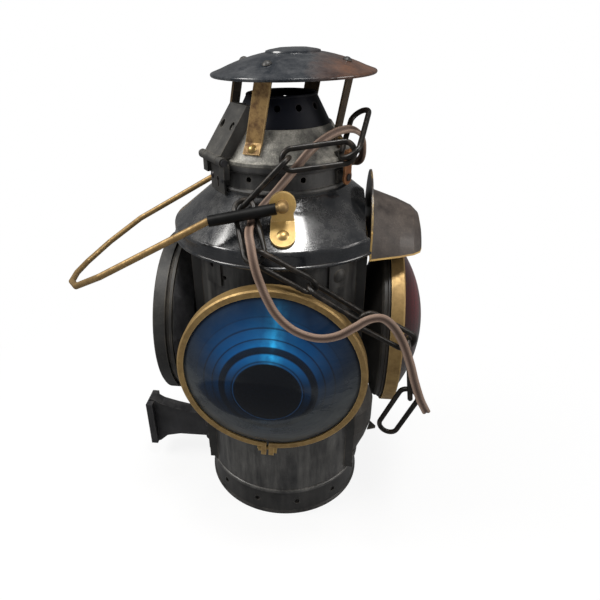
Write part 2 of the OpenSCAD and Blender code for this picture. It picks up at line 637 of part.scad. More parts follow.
// Bent strip of sheet through the given points, its width along the tangent
module strap(az) {
    w = [cos(az), sin(az), 0];
    p = [skin(az, foot_h0, strap_t / 2 + 0.14), skin(az, foot_h1, strap_t / 2 + 0.14),
        under(az, riser_r - 0.6, strap_t / 2 + 0.42), under(az, tab_r, strap_t / 2 + 0.42)];
    n = [for (i = [0:2]) unit(cross(w, p[i + 1] - p[i]))];
    m = [n[0], unit(n[0] + n[1]), unit(n[1] + n[2]), n[2]];
    k = [1, 1 / (m[1] * n[0]), 1 / (m[2] * n[1]), 1];
    pts = [for (i = [0:3]) each [for (c = [[-1, -1], [1, -1], [1, 1], [-1, 1]])
        p[i] + w * c[0] * strap_w / 2 + m[i] * c[1] * k[i] * strap_t / 2]];
    difference() {
        polyhedron(pts, concat([[0, 1, 2], [0, 2, 3]],
            [for (i = [0:2]) each [for (c = [0:3]) each
                [[i * 4 + c, i * 4 + 4 + c, i * 4 + (c + 1) % 4], [i * 4 + (c + 1) % 4, i * 4 + 4 + c, i * 4 + 4 + (c + 1) % 4]]]],
            [[12, 14, 13], [12, 15, 14]]));
        at(skin(az, rivet_h, 0), strap_n(az)) cylinder(h = 10, r = 1.4 + fit, center = true, $fn = 24);
        at(under(az, tab_r + 3.6, 0), dome_n(az)) cylinder(h = 10, r = 1.4 + fit, center = true, $fn = 24);
    }
}
function dome_n(az) = unit(dir(az) * (2 * cap_dome * (tab_r + 3.6) / (cap_r * cap_r)) + [0, 0, 1]);
function strap_n(az) = dir(az) * sk_n[0] + [0, 0, sk_n[2]];
function strap_rivet_pts() = [for (az = strap_az) [skin(az, rivet_h, 0), strap_n(az)]];
module strap_brass() color("#b98a48") strap(strap_az[0]);
module straps_dark() color("#4a3a2a") for (i = [1:3]) strap(strap_az[i]);
module strap_rivets() color("#d9b264") for (az = strap_az)
    at(skin(az, rivet_h, strap_t + 0.16), strap_n(az)) rivet(3.4, 2, strap_t + 1.3, 1.4);

// Cap: dished sheet with a wired rim and a pressed centre
module cap() color("#22262c") translate(cap_o) difference() {
    rotate_extrude() polygon(concat([for (i = [0:9]) [cap_r * i / 10, dome_z(cap_r * i / 10)]],
        [for (a = [75:-25:-175]) [cap_r - 0.4 + 1.3 * cos(a), z_cap - 0.6 + 1.3 * sin(a)]],
        [for (i = [9:-1:0]) [cap_r * i / 10, dome_z(cap_r * i / 10) - cap_t]]));
    for (az = strap_az) at(dir(az) * (tab_r + 3.6) + [0, 0, dome_z(tab_r + 3.6) - cap_t], dome_n(az))
        cylinder(h = 8, r = 1.4 + fit, center = true, $fn = 24);
    translate([0, 0, z_cap]) cylinder(h = 40, r = 2 + fit, $fn = 24);
}
module cap_button() color("#2b2f35") translate(cap_o + [0, 0, dome_z(19) + 0.02]) {
    difference() {
        rotate_extrude() polygon([[0, dome_z(0) - dome_z(19) + 1.5], [10, dome_z(10) - dome_z(19) + 1.5], [17, dome_z(17) - dome_z(19) + 1.2],
            [19, 0.9], [19.4, 0], [19.4, -0.2], [0, -0.2]]);
        rotate_extrude() polygon(concat([for (i = [0:5]) [i * 4, dome_z(i * 4) - dome_z(19)]], [[20, -5], [0, -5]]));
    }
    translate([0, 0, dome_z(0) - dome_z(19) - 4]) cylinder(h = 4.5, r = 2, $fn = 24);
}
module cap_rivets() color("#141414") for (az = strap_az)
    at(under(az, tab_r + 3.6, 0) + dome_n(az) * (cap_t + 0.12), dome_n(az)) rivet(3.3, 1.9, cap_t + strap_t + 0.6, 1.4);

// Sliding door: flat sheet with a bulged lower apron, its lens and its hood
apron_r = 38.5;
apron_x = door_x - 18.4;
apron_z0 = z_door + 1;
module apron_profile(t) polygon([[apron_r - 9 - t, apron_z0], [apron_r - 4 - t, apron_z0 + 14], [apron_r - t, apron_z0 + 30],
    [apron_r - t, apron_z0 + 52], [apron_r - 8 - t, apron_z0 + 70], [8, apron_z0 + 70], [8, apron_z0]]);
module door() color("#4c4a44") {
    difference() {
        translate([door_x, -door_w / 2, z_door]) cube([door_t, door_w, door_h]);
        right_pose() cylinder(h = 90, r = neck_side - neck_t);
        translate([apron_x, 0, 0]) rotate_extrude() offset(delta = -0.01) apron_profile(1.3);
    }
    difference() {
        translate([apron_x, 0, 0]) rotate_extrude() apron_profile(0);
        translate([apron_x, 0, 0]) rotate_extrude() apron_profile(1.3);
        translate([-100 + door_x + 0.01, -100, 0]) cube([100, 200, 200]);
    }
}
module door_housing() color("#5b5a55") right_pose() rotate_extrude() housing_profile(neck_d, neck_side, neck_end);
right_split = 90;
module door_bezel() color("#b98a3e") right_pose() bezel(right_split);
module door_clamp_screw() color("#c8a860") right_pose() clamp_screw(right_split);
module door_lens() color("#5c1018") right_pose() rotate_extrude() lens_profile();
// Hood: tombstone back plate and a scooped visor, one pressing
hood_x = guide_x + 0.5;
hood_t = 1.2;
hood_z = z_eave - 4;
visor_z = hood_z - 17;
visor_r = hood_w / 2;
module hood() color("#4b3328") {
    // back plate
    difference() {
        union() {
            translate([hood_x, 0, hood_z]) rotate([90, 0, 90]) linear_extrude(height = hood_t) intersection() {
                translate([-hood_w / 2, 0]) square([hood_w, hood_h]);
                union() {
                    translate([-hood_w / 2, 0]) square([hood_w, hood_h - 30]);
                    translate([0, hood_h - hood_arch]) circle(r = hood_arch);
                }
            }
            // feet of the plate that reach back to the door sheet
            translate([door_x + door_t, -30, hood_z]) cube([hood_x - door_x - door_t + 0.2, 60, 3.6]);
        }
        for (y = [-20, 20]) translate([0, y, hood_z + 1.8]) rotate([0, 90, 0]) cylinder(h = 90, r = 1.2 + fit, $fn = 24);
    }
    // visor
    intersection() {
        translate([hood_x, 0, visor_z]) rotate([0, 90, 0]) difference() {
            rotate_extrude() polygon(visor_line(0));
            rotate_extrude() polygon(visor_line(hood_t));
        }
        translate([hood_x + 0.1, -100, hood_z - 3]) cube([100, 200, 100]);
    }
}
hood_arch = 56;
function visor_line(t) = [[0, -1], [visor_r - t, -1], [visor_r - t, 0], [visor_r - 8 - t, hood_reach * 0.55],
    [visor_r - 13 - t, hood_reach * 0.82], [visor_r - 18 - t, hood_reach * 0.95], [visor_r - 25 - t, hood_reach - t], [0, hood_reach - t]];
module door_rivets() color("#4a3a30") for (y = [-20, 20])
    translate([hood_x + hood_t, y, hood_z + 1.8]) rotate([0, 90, 0]) rivet(2.6, 1.5, hood_t + hood_x - door_x - door_t - 0.2, 1.2);
// Pull tab at the foot of the door
module door_tab() color("#1f1e1c") translate([apron_x, 0, apron_z0 + 24])
    rotate([0, 0, -16]) translate([apron_r - 0.9, 0, 0]) linear_extrude(height = 1.6) polygon([[0, -6], [6.5, -1.2], [6.5, 0.8], [0, 6]]);

// Bail: bent wire with wrapped ends that turn in the eyes
bail_drop = 23.8;
function bp(u, y, w) = [-(u * cos(bail_drop) - w * sin(bail_drop)), y, eye_z - u * sin(bail_drop) - w * cos(bail_drop) + 0];
leg_y = ear_d + 5.8;
function bail_pts() = [bp(0, -leg_y, 0), bp(50, -leg_y + 1, -12), bp(bail_len * 0.74, -leg_y + 8, -6), bp(bail_len * 0.9, -leg_y + 26, -2),
    bp(bail_len * 0.985, -20, 0), bp(bail_len, 0, 0), bp(bail_len * 0.985, 20, 0), bp(bail_len * 0.9, leg_y - 26, -2),
    bp(bail_len * 0.74, leg_y - 8, -6), bp(50, leg_y - 1, -12), bp(0, leg_y, 0)];
module bail() color("#a8875a") rotate([0, 0, ear_turn]) {
    p = bail_pts();
    wire([for (i = [1:len(p) - 2]) p[i]], bail_d / 2);
    for (s = [-1, 1]) {
        rod([0, s * leg_y, eye_z], [0, s * (ear_d - 3.4), eye_z], eye_pin_r);
        translate([0, s * leg_y, eye_z]) sphere(r = eye_pin_r + 0.03, $fn = 32);
        rod(bp(0, s * leg_y, 0), bp(50, s * (leg_y - 1), -12), bail_d / 2);
    }
}
// Sleeves slipped over the wire's two legs
sleeve_r = 3.9;
module bail_sleeves() color("#101010") rotate([0, 0, ear_turn]) for (s = [-1, 1]) {
    p = bp(0, s * leg_y, 0);
    q = bp(50, s * (leg_y - 1), -12);
    u = unit(q - p);
    at(p + u * (eye_pin_r + 0.3), u, [0.013, 0.02, 1]) difference() {
        cylinder(h = norm(q - p) - eye_pin_r - 1.5, r = sleeve_r, $fn = 32);
        translate([0, 0, -1]) cylinder(h = 80, r = bail_d / 2 + 0.03, $fn = 32);
    }
}

// Side bracket: cast arm that flares into a fishtail end plate
br_top = bracket_z + bracket_h / 2;
br_bot = bracket_z - bracket_h / 2;
module side_bracket() color("#17171a") difference() {
    union() {
        rotate([90, 0, 0]) translate([0, 0, -bracket_t / 2]) linear_extrude(height = bracket_t)
            polygon([[-barrel_r + 6, bracket_z - bracket_root / 2], [-barrel_r + 6, bracket_z + bracket_root / 2],
                [-bracket_x + 44, bracket_z + bracket_root / 2], [-bracket_x + 28, bracket_z + bracket_root / 2 + 3.5],
                [-bracket_x + 14, br_top - 6], [-bracket_x + 7, br_top - 1.5], [-bracket_x + 3, br_top], [-bracket_x, br_top - 4],
                [-bracket_x - 1.5, bracket_z], [-bracket_x, br_bot + 4], [-bracket_x + 3, br_bot],
                [-bracket_x + 8, br_bot + 2], [-bracket_x + 16, bracket_z - bracket_root / 2 - 4],
                [-bracket_x + 30, bracket_z - bracket_root / 2 - 0.5]]);
        // end plate
        translate([-bracket_x, -bracket_w / 2, br_bot + 3]) cube([6.5, bracket_w, bracket_h - 6]);
        // saddle flange on the barrel
        intersection() {
            translate([-barrel_r - 5, -22, bracket_z - bracket_root / 2 - 1]) cube([16, 44, bracket_root + 8]);
            cylinder(h = 200, r = barrel_r + 4.4);
        }
    }
    cylinder(h = 300, r = barrel_r + 0.02);
    translate([0, 0, foot_h - 5]) cylinder(h = 10.5, r = barrel_r + bead_r + 0.4);
    for (p = bolt_pts()) at(p, [p[0], p[1], 0]) cylinder(h = 30, r = 2.2 + fit, center = true, $fn = 24);
}
function bolt_pts() = [for (s = [-1, 1]) for (z = [bracket_z - 4, bracket_z + 12])
    [-cos(13) * barrel_r, s * sin(13) * barrel_r, z]];
module bracket_bolts() color("#2c2b2a") for (p = bolt_pts())
    at(p * 1 + unit([p[0], p[1], 0]) * 4.45, [p[0], p[1], 0], [0, 0, 1]) rivet(3.6, 2.2, 4.3, 2.2);

// Inside: post, socket and bulb on the lens axis
post_r = 5;
post_wall = 1;
post_h = 62;
module socket_post() color("#b9a56a") translate([0, 0, foot_h + 1.5]) difference() {
    union() {
        cylinder(h = post_h, r = post_r);
        cylinder(h = 2, r = 11);
    }
    translate([0, 0, -1]) cylinder(h = post_h + 2, r = post_r - post_wall);
}
socket_h = 44;
socket_z = foot_h + 1.5 + post_h;
module lamp_socket() color("#d8d2c0") translate([0, 0, socket_z]) difference() {
    rotate_extrude() polygon([[0, 0], [9, 0], [12, 5], [17, 14], [18, 18], [18, socket_h - 2], [17, socket_h], [0, socket_h]]);
    translate([0, 0, 12]) cylinder(h = socket_h, r = 13.3);
    translate([0, 0, -1]) cylinder(h = 20, r = 3);
}
module bulb() color("#f4ecd0") translate([0, 0, socket_z]) rotate_extrude()
    polygon([[0, 14], [9, 14], [13, 18], [13, 45], [14.5, 50], [20, 59], [27, 72], [30, 84], [29, 95], [24, 105], [15, 112], [0, 115]]);

// Cord: bushing in the collar, lead inside, free cord outside
bush_r = 3.9;
bush_az = 100;
bush_z = z_collar - 10.6;
module bushing_pose() at([0, 0, bush_z] + dir(bush_az) * (collar_r - 0.6), dir(bush_az), [0, 0, 1]) children();
module cord_bushing() color("#191512") bushing_pose() difference() {
    union() {
        translate([0, 0, -2]) cylinder(h = 3.2, r = bush_r, $fn = 32);
        translate([0, 0, 0.75]) cylinder(h = 1.5, r = bush_r + 1, $fn = 32);
        translate([0, 0, -3.4]) cylinder(h = 1.5, r = bush_r + 0.9, $fn = 32);
    }
    translate([0, 0, -5]) cylinder(h = 12, r = cord_w / 2 + 0.15, $fn = 32);
}
module inner_lead() color("#6d5344") {
    d = dir(bush_az);
    wire([[0, 0, bush_z] + d * (collar_r - 5.2), [0, 0, bush_z - 6] + d * (collar_r - 12), [0, 0, foot_h + 30] + d * (collar_r - 14),
        [0, 0, foot_h + 12] + d * 24, [0, 0, foot_h + 11] + d * 8], 2.2);
}
// Route of the free cord, chosen by hand; its first point is in the bushing
cord_route = [[46.5, 8.2, 300.4], [51, 9, 300.4], [56, 8.5, 301.5], [59, 4, 305], [60, -3, 310],
    [60, -11, 316.5], [59, -19, 324], [56, -28, 330], [50, -36, 334], [42, -43, 334], [33, -48, 330],
    [24, -51, 323], [16, -54, 314], [9, -57, 306], [2, -59, 298], [-4, -60, 291.5], [-9.5, -61.5, 285.5],
    [-13.5, -65.5, 281], [-14, -72, 278.5], [-14, -79, 278.5], [-13, -87, 277], [-11, -94, 273],
    [-9, -99, 266], [-7, -101, 258], [-4, -102, 249], [0, -104, 240], [6, -106, 230], [15, -108.5, 222],
    [25, -110, 217.5], [36, -111.5, 216.5], [47, -112, 219.5], [57, -110, 225], [66, -106, 229],
    [75, -102, 228], [83, -99, 220], [90, -98, 208], [96, -99, 193], [101, -99, 177], [107, -96, 160],
    [114, -90, 144]];
cord_t = 3;
// outward direction of the flat side: up off the roof, forwards below the eave
function cord_out(p) = let (s = min(1, max(0, (p[2] - 248) / 32)), r = unit([p[0], p[1], 0.01]))
    unit([r[0] * 0.65 * s, r[1] * 0.65 * s - (1 - s), 0.75 * s]);
module flat_tube(route) {
    n = len(route);
    m = 8;
    t = [for (i = [0:n - 1]) unit(route[min(n - 1, i + 1)] - route[max(0, i - 1)])];
    w = [for (i = [0:n - 1]) unit(cross(cord_out(route[i]), t[i]))];
    b = [for (i = [0:n - 1]) cross(t[i], w[i])];
    sec = [[0.5, 0.16], [0.34, 0.5], [-0.34, 0.5], [-0.5, 0.16], [-0.5, -0.16], [-0.34, -0.5], [0.34, -0.5], [0.5, -0.16]];
    pts = [for (i = [0:n - 1]) each [for (s = sec) route[i] + w[i] * s[0] * cord_w + b[i] * s[1] * cord_t]];
    faces = concat([[for (k = [0:m - 1]) k]],
        [for (i = [0:n - 2]) each [for (k = [0:m - 1]) each
            [[i * m + k, (i + 1) * m + k, (i + 1) * m + (k + 1) % m], [i * m + k, (i + 1) * m + (k + 1) % m, i * m + (k + 1) % m]]]],
        [[for (k = [m - 1:-1:0]) (n - 1) * m + k]]);
    polyhedron(pts, faces);
}
module cord() color("#7d5c44") flat_tube(cord_route);

// Chain: each link spans two joints and is turned about its own length. It hangs from
// the lid, so its joints rise with the barrel's top edge, which stands at chain_ref_z here
chain_ref_z = 269;
chain_pts = [[56, -20, 340.5], [49.5, -54, 323], [9, -61, 319], [-20, -62.5, 288.5], [-9, -89.5, 263.5],
    [29, -97, 246], [64, -95, 223], [96, -84, 199.5], [101, -88, 158], [88, -83, 121]];
chain_roll = [45, 165, -100, -175, -125, -60, -150, 105, 10];
chain_j = [for (p = chain_pts) p + [0, 0, z_barrel - chain_ref_z]];
function link_u(i) = unit(chain_j[i + 1] - chain_j[i]);
function link_e(i) = (link_d / 2 + 0.22) / (i < 1 || i > 8 ? 1 : sqrt((1 + max(-0.6, link_u(i - 1) * link_u(i))) / 2));
module link(i) {
    u = link_u(i);
    w0 = unit(cross([-0.1, 0.85, -0.5], u));
    w = w0 * cos(chain_roll[i]) + cross(u, w0) * sin(chain_roll[i]);
    m = (chain_j[i] - u * link_e(i) + chain_j[i + 1] + u * link_e(i + 1)) / 2;
    r = (link_w - link_d) / 2;
    s = (link_l - link_d) / 2 - r;
    at(m, cross(u, w), u) {
        for (e = [-1, 1]) {
            translate([0, e * r, 0]) rotate([0, 90, 0]) cylinder(h = 2 * s, r = link_d / 2, center = true, $fn = 24);
            translate([e * s, 0, 0]) rotate([0, 0, e > 0 ? -90 : 90]) rotate_extrude(angle = 180)
                translate([r, 0]) circle(r = link_d / 2, $fn = 24);
        }
    }
}
module chain_upper() color("#26282c") for (i = [0:3]) link(i);
module chain_lower() color("#1f2125") for (i = [4:8]) link(i);

foot();
floor_pan();
barrel();
door_guides();
panel_guides();
shoulder();
collar();
front_housing();
front_bezel();
front_clamp_screw();
front_lens();
left_panel();
left_housing();
left_bezel();
left_clamp_screw();
left_blank();
left_cover();
left_strap();
ears();
ear_rivets();
body_rivets();
hinge_leaf();
leaf_rivets();
hinge_pin();
latch_bracket();
latch_pin();
side_bracket();
bracket_bolts();
lamp_socket();
socket_post();
bulb();
cord_bushing();
inner_lead();
cord();
chain_upper();
chain_lower();
door();
door_housing();
door_bezel();
door_clamp_screw();
door_lens();
hood();
door_rivets();
door_tab();
lid_skirt();
flue_cone();
lid_arm();
strap_brass();
straps_dark();
strap_rivets();
cap();
cap_button();
cap_rivets();
latch_catch();
latch();
bail();
bail_sleeves();
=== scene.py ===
# Looks of the railroad marker lamp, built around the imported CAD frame.
import math

import bpy
import bmesh
from mathutils import Matrix, Vector


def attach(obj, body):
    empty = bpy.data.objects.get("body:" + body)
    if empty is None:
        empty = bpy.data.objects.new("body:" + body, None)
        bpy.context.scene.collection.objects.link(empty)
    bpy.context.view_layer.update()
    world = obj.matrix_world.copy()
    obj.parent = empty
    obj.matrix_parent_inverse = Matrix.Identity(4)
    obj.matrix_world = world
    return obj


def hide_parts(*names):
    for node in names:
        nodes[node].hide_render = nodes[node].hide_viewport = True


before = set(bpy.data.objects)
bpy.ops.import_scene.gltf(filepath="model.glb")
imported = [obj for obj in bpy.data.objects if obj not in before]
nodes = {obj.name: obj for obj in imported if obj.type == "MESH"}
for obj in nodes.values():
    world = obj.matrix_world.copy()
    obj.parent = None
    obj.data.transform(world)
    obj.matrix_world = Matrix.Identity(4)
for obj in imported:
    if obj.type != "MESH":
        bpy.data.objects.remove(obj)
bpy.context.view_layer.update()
scene = bpy.context.scene
MM = 0.001            # metres in a millimetre
PER_M = 1000.0        # millimetres in a metre

# Camera: its place in metres, its angles in degrees, focal length and centre in pixels of the photograph
cam_data = bpy.data.cameras.new("camera")
cam = bpy.data.objects.new("camera", cam_data)
scene.collection.objects.link(cam)
scene.camera = cam
FRAME_PX = 600.0
SENSOR_MM = 36.0
CAM_POS = (0.04106, -0.4015, 0.3985)
YAW, PITCH, ROLL = math.radians(-8.51), math.radians(28.71), math.radians(-1.75)
FOCAL_PX, CX, CY = 522.67, 261.7, 307.3
fwd = Vector((math.sin(YAW) * math.cos(PITCH), math.cos(YAW) * math.cos(PITCH), -math.sin(PITCH)))
right = Vector((math.cos(YAW), -math.sin(YAW), 0))
up = right.cross(fwd)
cam_r = right * math.cos(ROLL) + up * math.sin(ROLL)
cam_u = -right * math.sin(ROLL) + up * math.cos(ROLL)
cam.matrix_world = Matrix((
    (cam_r.x, cam_u.x, -fwd.x, CAM_POS[0]),
    (cam_r.y, cam_u.y, -fwd.y, CAM_POS[1]),
    (cam_r.z, cam_u.z, -fwd.z, CAM_POS[2]),
    (0, 0, 0, 1)))
cam_data.sensor_fit = "HORIZONTAL"
cam_data.sensor_width = SENSOR_MM
cam_data.lens = FOCAL_PX / FRAME_PX * SENSOR_MM
cam_data.shift_x = (FRAME_PX / 2 - CX) / FRAME_PX
cam_data.shift_y = (CY - FRAME_PX / 2) / FRAME_PX
cam_data.clip_start, cam_data.clip_end = 0.01, 20

# Free cord: a flat flex of two cores, with its route in millimetres
CORD_W, CORD_T = 0.006, 0.003
CORD_SIDES = 24
CORD_SPAN_STEPS = 6   # curve points between two points of the route
CORD_WAIST, CORD_WAIST_X = 0.55, 0.24    # depth and half width of the groove, as shares of the section
CORD_GIRTH = 0.018    # way round the section, used as the width of its texture space
CORD_ROUTE_MM = [
    (46.5, 8.2, 300.4), (51, 9, 300.4), (56, 8.5, 301.5), (59, 4, 305), (60, -3, 310), (60, -11, 316.5),
    (59, -19, 324), (56, -28, 330), (50, -36, 334), (42, -43, 334), (33, -48, 330), (24, -51, 323),
    (16, -54, 314), (9, -57, 306), (2, -59, 298), (-4, -60, 291.5), (-9.5, -61.5, 285.5), (-13.5, -65.5,
                                                                                           281),
    (-14, -72, 278.5), (-14, -79, 278.5), (-13, -87, 277), (-11, -94, 273), (-9, -99, 266),
    (-7, -101, 258), (-4, -102, 249), (0, -104, 240), (6, -106, 230), (15, -108.5, 222),
    (25, -110, 217.5), (36, -111.5, 216.5), (47, -112, 219.5), (57, -110, 225), (66, -106, 229),
    (75, -102, 228), (83, -99, 220), (90, -98, 208), (96, -99, 193), (101, -99, 177), (107, -96, 160),
    (114, -90, 144)]
EAVE_Z, ROOF_RISE = 248, 32    # height above which the cord lies on the roof, and the blend above it


def catmull(points, n):
    """Points along a uniform Catmull-Rom curve, n per span."""
    p = [Vector(q) for q in points]
    out = []
    for i in range(len(p) - 1):
        a = p[i - 1] if i else p[0] * 2 - p[1]
        b, c = p[i], p[i + 1]
        d = p[i + 2] if i + 2 < len(p) else p[-1] * 2 - p[-2]
        for k in range(n):
            t = k / n
            bend = (2 * a - 5 * b + 4 * c - d) * t * t
            out.append(0.5 * ((2 * b) + (c - a) * t + bend + (3 * b - a - 3 * c + d) * t ** 3))
    out.append(p[-1])
    return out


def cord_out(p):
    """Outward side of the flat cord: up off the roof, forwards below the eave."""
    s = min(1.0, max(0.0, (p.z * PER_M - EAVE_Z) / ROOF_RISE))
    r = Vector((p.x, p.y, 0.00001)).normalized()
    return Vector((r.x * 0.65 * s, r.y * 0.65 * s - (1 - s), 0.75 * s)).normalized()


def flat_cord(name, route, width, thick, mat):
    """Two cores side by side in one braided cover: a figure-eight section swept along the route."""
    pts = catmull(route, CORD_SPAN_STEPS)
    n = len(pts)
    sec = []
    for k in range(CORD_SIDES):
        a = 2 * math.pi * k / CORD_SIDES
        x, y = math.cos(a), math.sin(a)
        waist = 1.0 - CORD_WAIST * math.exp(-(x / CORD_WAIST_X) ** 2)
        sec.append((0.5 * width * math.copysign(abs(x) ** 0.8, x), 0.5 * thick * y * waist))
    bm = bmesh.new()
    uvl = bm.loops.layers.uv.new("UVMap")
    rings, run, dist = [], 0.0, []
    for i, p in enumerate(pts):
        t = (pts[min(n - 1, i + 1)] - pts[max(0, i - 1)]).normalized()
        w = cord_out(p).cross(t).normalized()
        b = t.cross(w)
        if i:
            run += (p - pts[i - 1]).length
        dist.append(run)
        rings.append([bm.verts.new(p + w * x + b * y) for x, y in sec])
    m = len(sec)
    for i in range(n - 1):
        for k in range(m):
            j = (k + 1) % m
            f = bm.faces.new((rings[i][k], rings[i][j], rings[i + 1][j], rings[i + 1][k]))
            f.smooth = True
            us = (k / m, (k + 1) / m, (k + 1) / m, k / m)
            vs = (dist[i], dist[i], dist[i + 1], dist[i + 1])
            for lo, u, v in zip(f.loops, us, vs):
                lo[uvl].uv = (u * CORD_GIRTH, v)
    bm.faces.new(list(reversed(rings[0])))
    bm.faces.new(rings[-1])
    bmesh.ops.recalc_face_normals(bm, faces=bm.faces)
    me = bpy.data.meshes.new(name)
    bm.to_mesh(me)
    bm.free()
    me.materials.append(mat)
    ob = bpy.data.objects.new(name, me)
    scene.collection.objects.link(ob)
    return ob, pts, run


# Places on the lamp that the materials follow, in metres
LENS_Z = 0.1719       # height of the lens axes
HOOD_LOW = 0.2455     # lower edge of the visor
HOOD_SIDE = 0.0485    # where the back plate's front rim begins
RIM_FADE = 0.004      # width over which that rim's colour comes in

# The same inside a lens, in millimetres
LENS_R = 66.0         # radius of its rings, over which light is painted
STREAK_HALF_W = 22.0         # half width of the painted highlight streak
LOBE_OFF = 9.0        # how far the dark lobe, a painted reflection, lies off the centre, to the left and down
LOBE_W, LOBE_H = 48.0, 19.0    # its half sizes


# Materials
class Mat:
    """A node material under construction. Its textures use object coordinates in metres."""

    def __init__(self, name, color=(0.5, 0.5, 0.5), rough=0.5, metal=0.0):
        self.m = bpy.data.materials.new(name)
        self.m.use_nodes = True
        self.t = self.m.node_tree
        self.n = self.t.nodes
        self.b = self.n["Principled BSDF"]
        self.b.inputs["Base Color"].default_value = (*color, 1)
        self.b.inputs["Roughness"].default_value = rough
        self.b.inputs["Metallic"].default_value = metal
        self.co = self.n.new("ShaderNodeTexCoord").outputs["Object"]

    def link(self, a, b):
        self.t.links.new(a, b)

    def mapping(self, scale, rot=(0, 0, 0)):
        m = self.n.new("ShaderNodeMapping")
        m.inputs["Scale"].default_value = scale
        m.inputs["Rotation"].default_value = rot
        self.link(self.co, m.inputs["Vector"])
        return m.outputs[0]

    def noise(self, scale, detail=4.0, rough=0.6, vec=None, dist=0.0):
        t = self.n.new("ShaderNodeTexNoise")
        t.inputs["Scale"].default_value = scale
        t.inputs["Detail"].default_value = detail
        t.inputs["Roughness"].default_value = rough
        t.inputs["Distortion"].default_value = dist
        self.link(vec or self.co, t.inputs["Vector"])
        return t.outputs["Fac"]

    def cell_edges(self, scale):
        t = self.n.new("ShaderNodeTexVoronoi")
        t.feature = "DISTANCE_TO_EDGE"
        t.inputs["Scale"].default_value = scale
        self.link(self.co, t.inputs["Vector"])
        return t.outputs["Distance"]

    def weave(self, scale, vec, dist=0.3):
        t = self.n.new("ShaderNodeTexWave")
        t.bands_direction = "DIAGONAL"
        t.inputs["Scale"].default_value = scale
        t.inputs["Distortion"].default_value = dist
        t.inputs["Detail"].default_value = 1
        t.inputs["Detail Scale"].default_value = 1
        self.link(vec, t.inputs["Vector"])
        return t.outputs["Fac"]

    def ramp(self, fac, stops):
        r = self.n.new("ShaderNodeValToRGB")
        e = r.color_ramp.elements
        while len(e) < len(stops):
            e.new(0.5)
        for k, (pos, col) in zip(e, stops):
            k.position = pos
            k.color = (*col, 1) if hasattr(col, "__len__") else (col, col, col, 1)
        self.link(fac, r.inputs[0])
        return r.outputs[0]

    def mix(self, fac, a, b):
        m = self.n.new("ShaderNodeMix")
        m.data_type = "RGBA"
        m.clamp_factor = True
        for sock, v in ((m.inputs[0], fac), (m.inputs[6], a), (m.inputs[7], b)):
            if hasattr(v, "links"):
                self.link(v, sock)
            elif hasattr(v, "__len__"):
                sock.default_value = (*v, 1)
            else:
                sock.default_value = v if sock == m.inputs[0] else (v, v, v, 1)
        return m.outputs[2]

    def math(self, op, a, b=0.0, clamp=False):
        m = self.n.new("ShaderNodeMath")
        m.operation = op
        m.use_clamp = clamp
        for sock, v in zip(m.inputs, (a, b)):
            if hasattr(v, "links"):
                self.link(v, sock)
            else:
                sock.default_value = v
        return m.outputs[0]

    def xyz(self):
        s = self.n.new("ShaderNodeSeparateXYZ")
        self.link(self.co, s.inputs[0])
        return s.outputs

    def normal_z(self):
        g = self.n.new("ShaderNodeNewGeometry")
        s = self.n.new("ShaderNodeSeparateXYZ")
        self.link(g.outputs["Normal"], s.inputs[0])
        return s.outputs[2]

    def bump(self, height, strength, distance):
        b = self.n.new("ShaderNodeBump")
        b.inputs["Strength"].default_value = strength
        b.inputs["Distance"].default_value = distance
        self.link(height, b.inputs["Height"])
        self.link(b.outputs[0], self.b.inputs["Normal"])

    def color(self, s):
        self.link(s, self.b.inputs["Base Color"])

    def rough(self, s):
        self.link(s, self.b.inputs["Roughness"])

    def metal(self, s):
        self.link(s, self.b.inputs["Metallic"])


def normal_edge(mt, radius=0.0012):
    """Mask of convex edges, from the difference between the true and a rounded normal."""
    b = mt.n.new("ShaderNodeBevel")
    b.samples = 4
    b.inputs["Radius"].default_value = radius
    g = mt.n.new("ShaderNodeNewGeometry")
    d = mt.n.new("ShaderNodeVectorMath")
    d.operation = "DOT_PRODUCT"
    mt.link(b.outputs[0], d.inputs[0])
    mt.link(g.outputs["Normal"], d.inputs[1])
    return mt.ramp(mt.math("SUBTRACT", 1.0, d.outputs["Value"]), [(0.02, 0.0), (0.16, 1.0)])


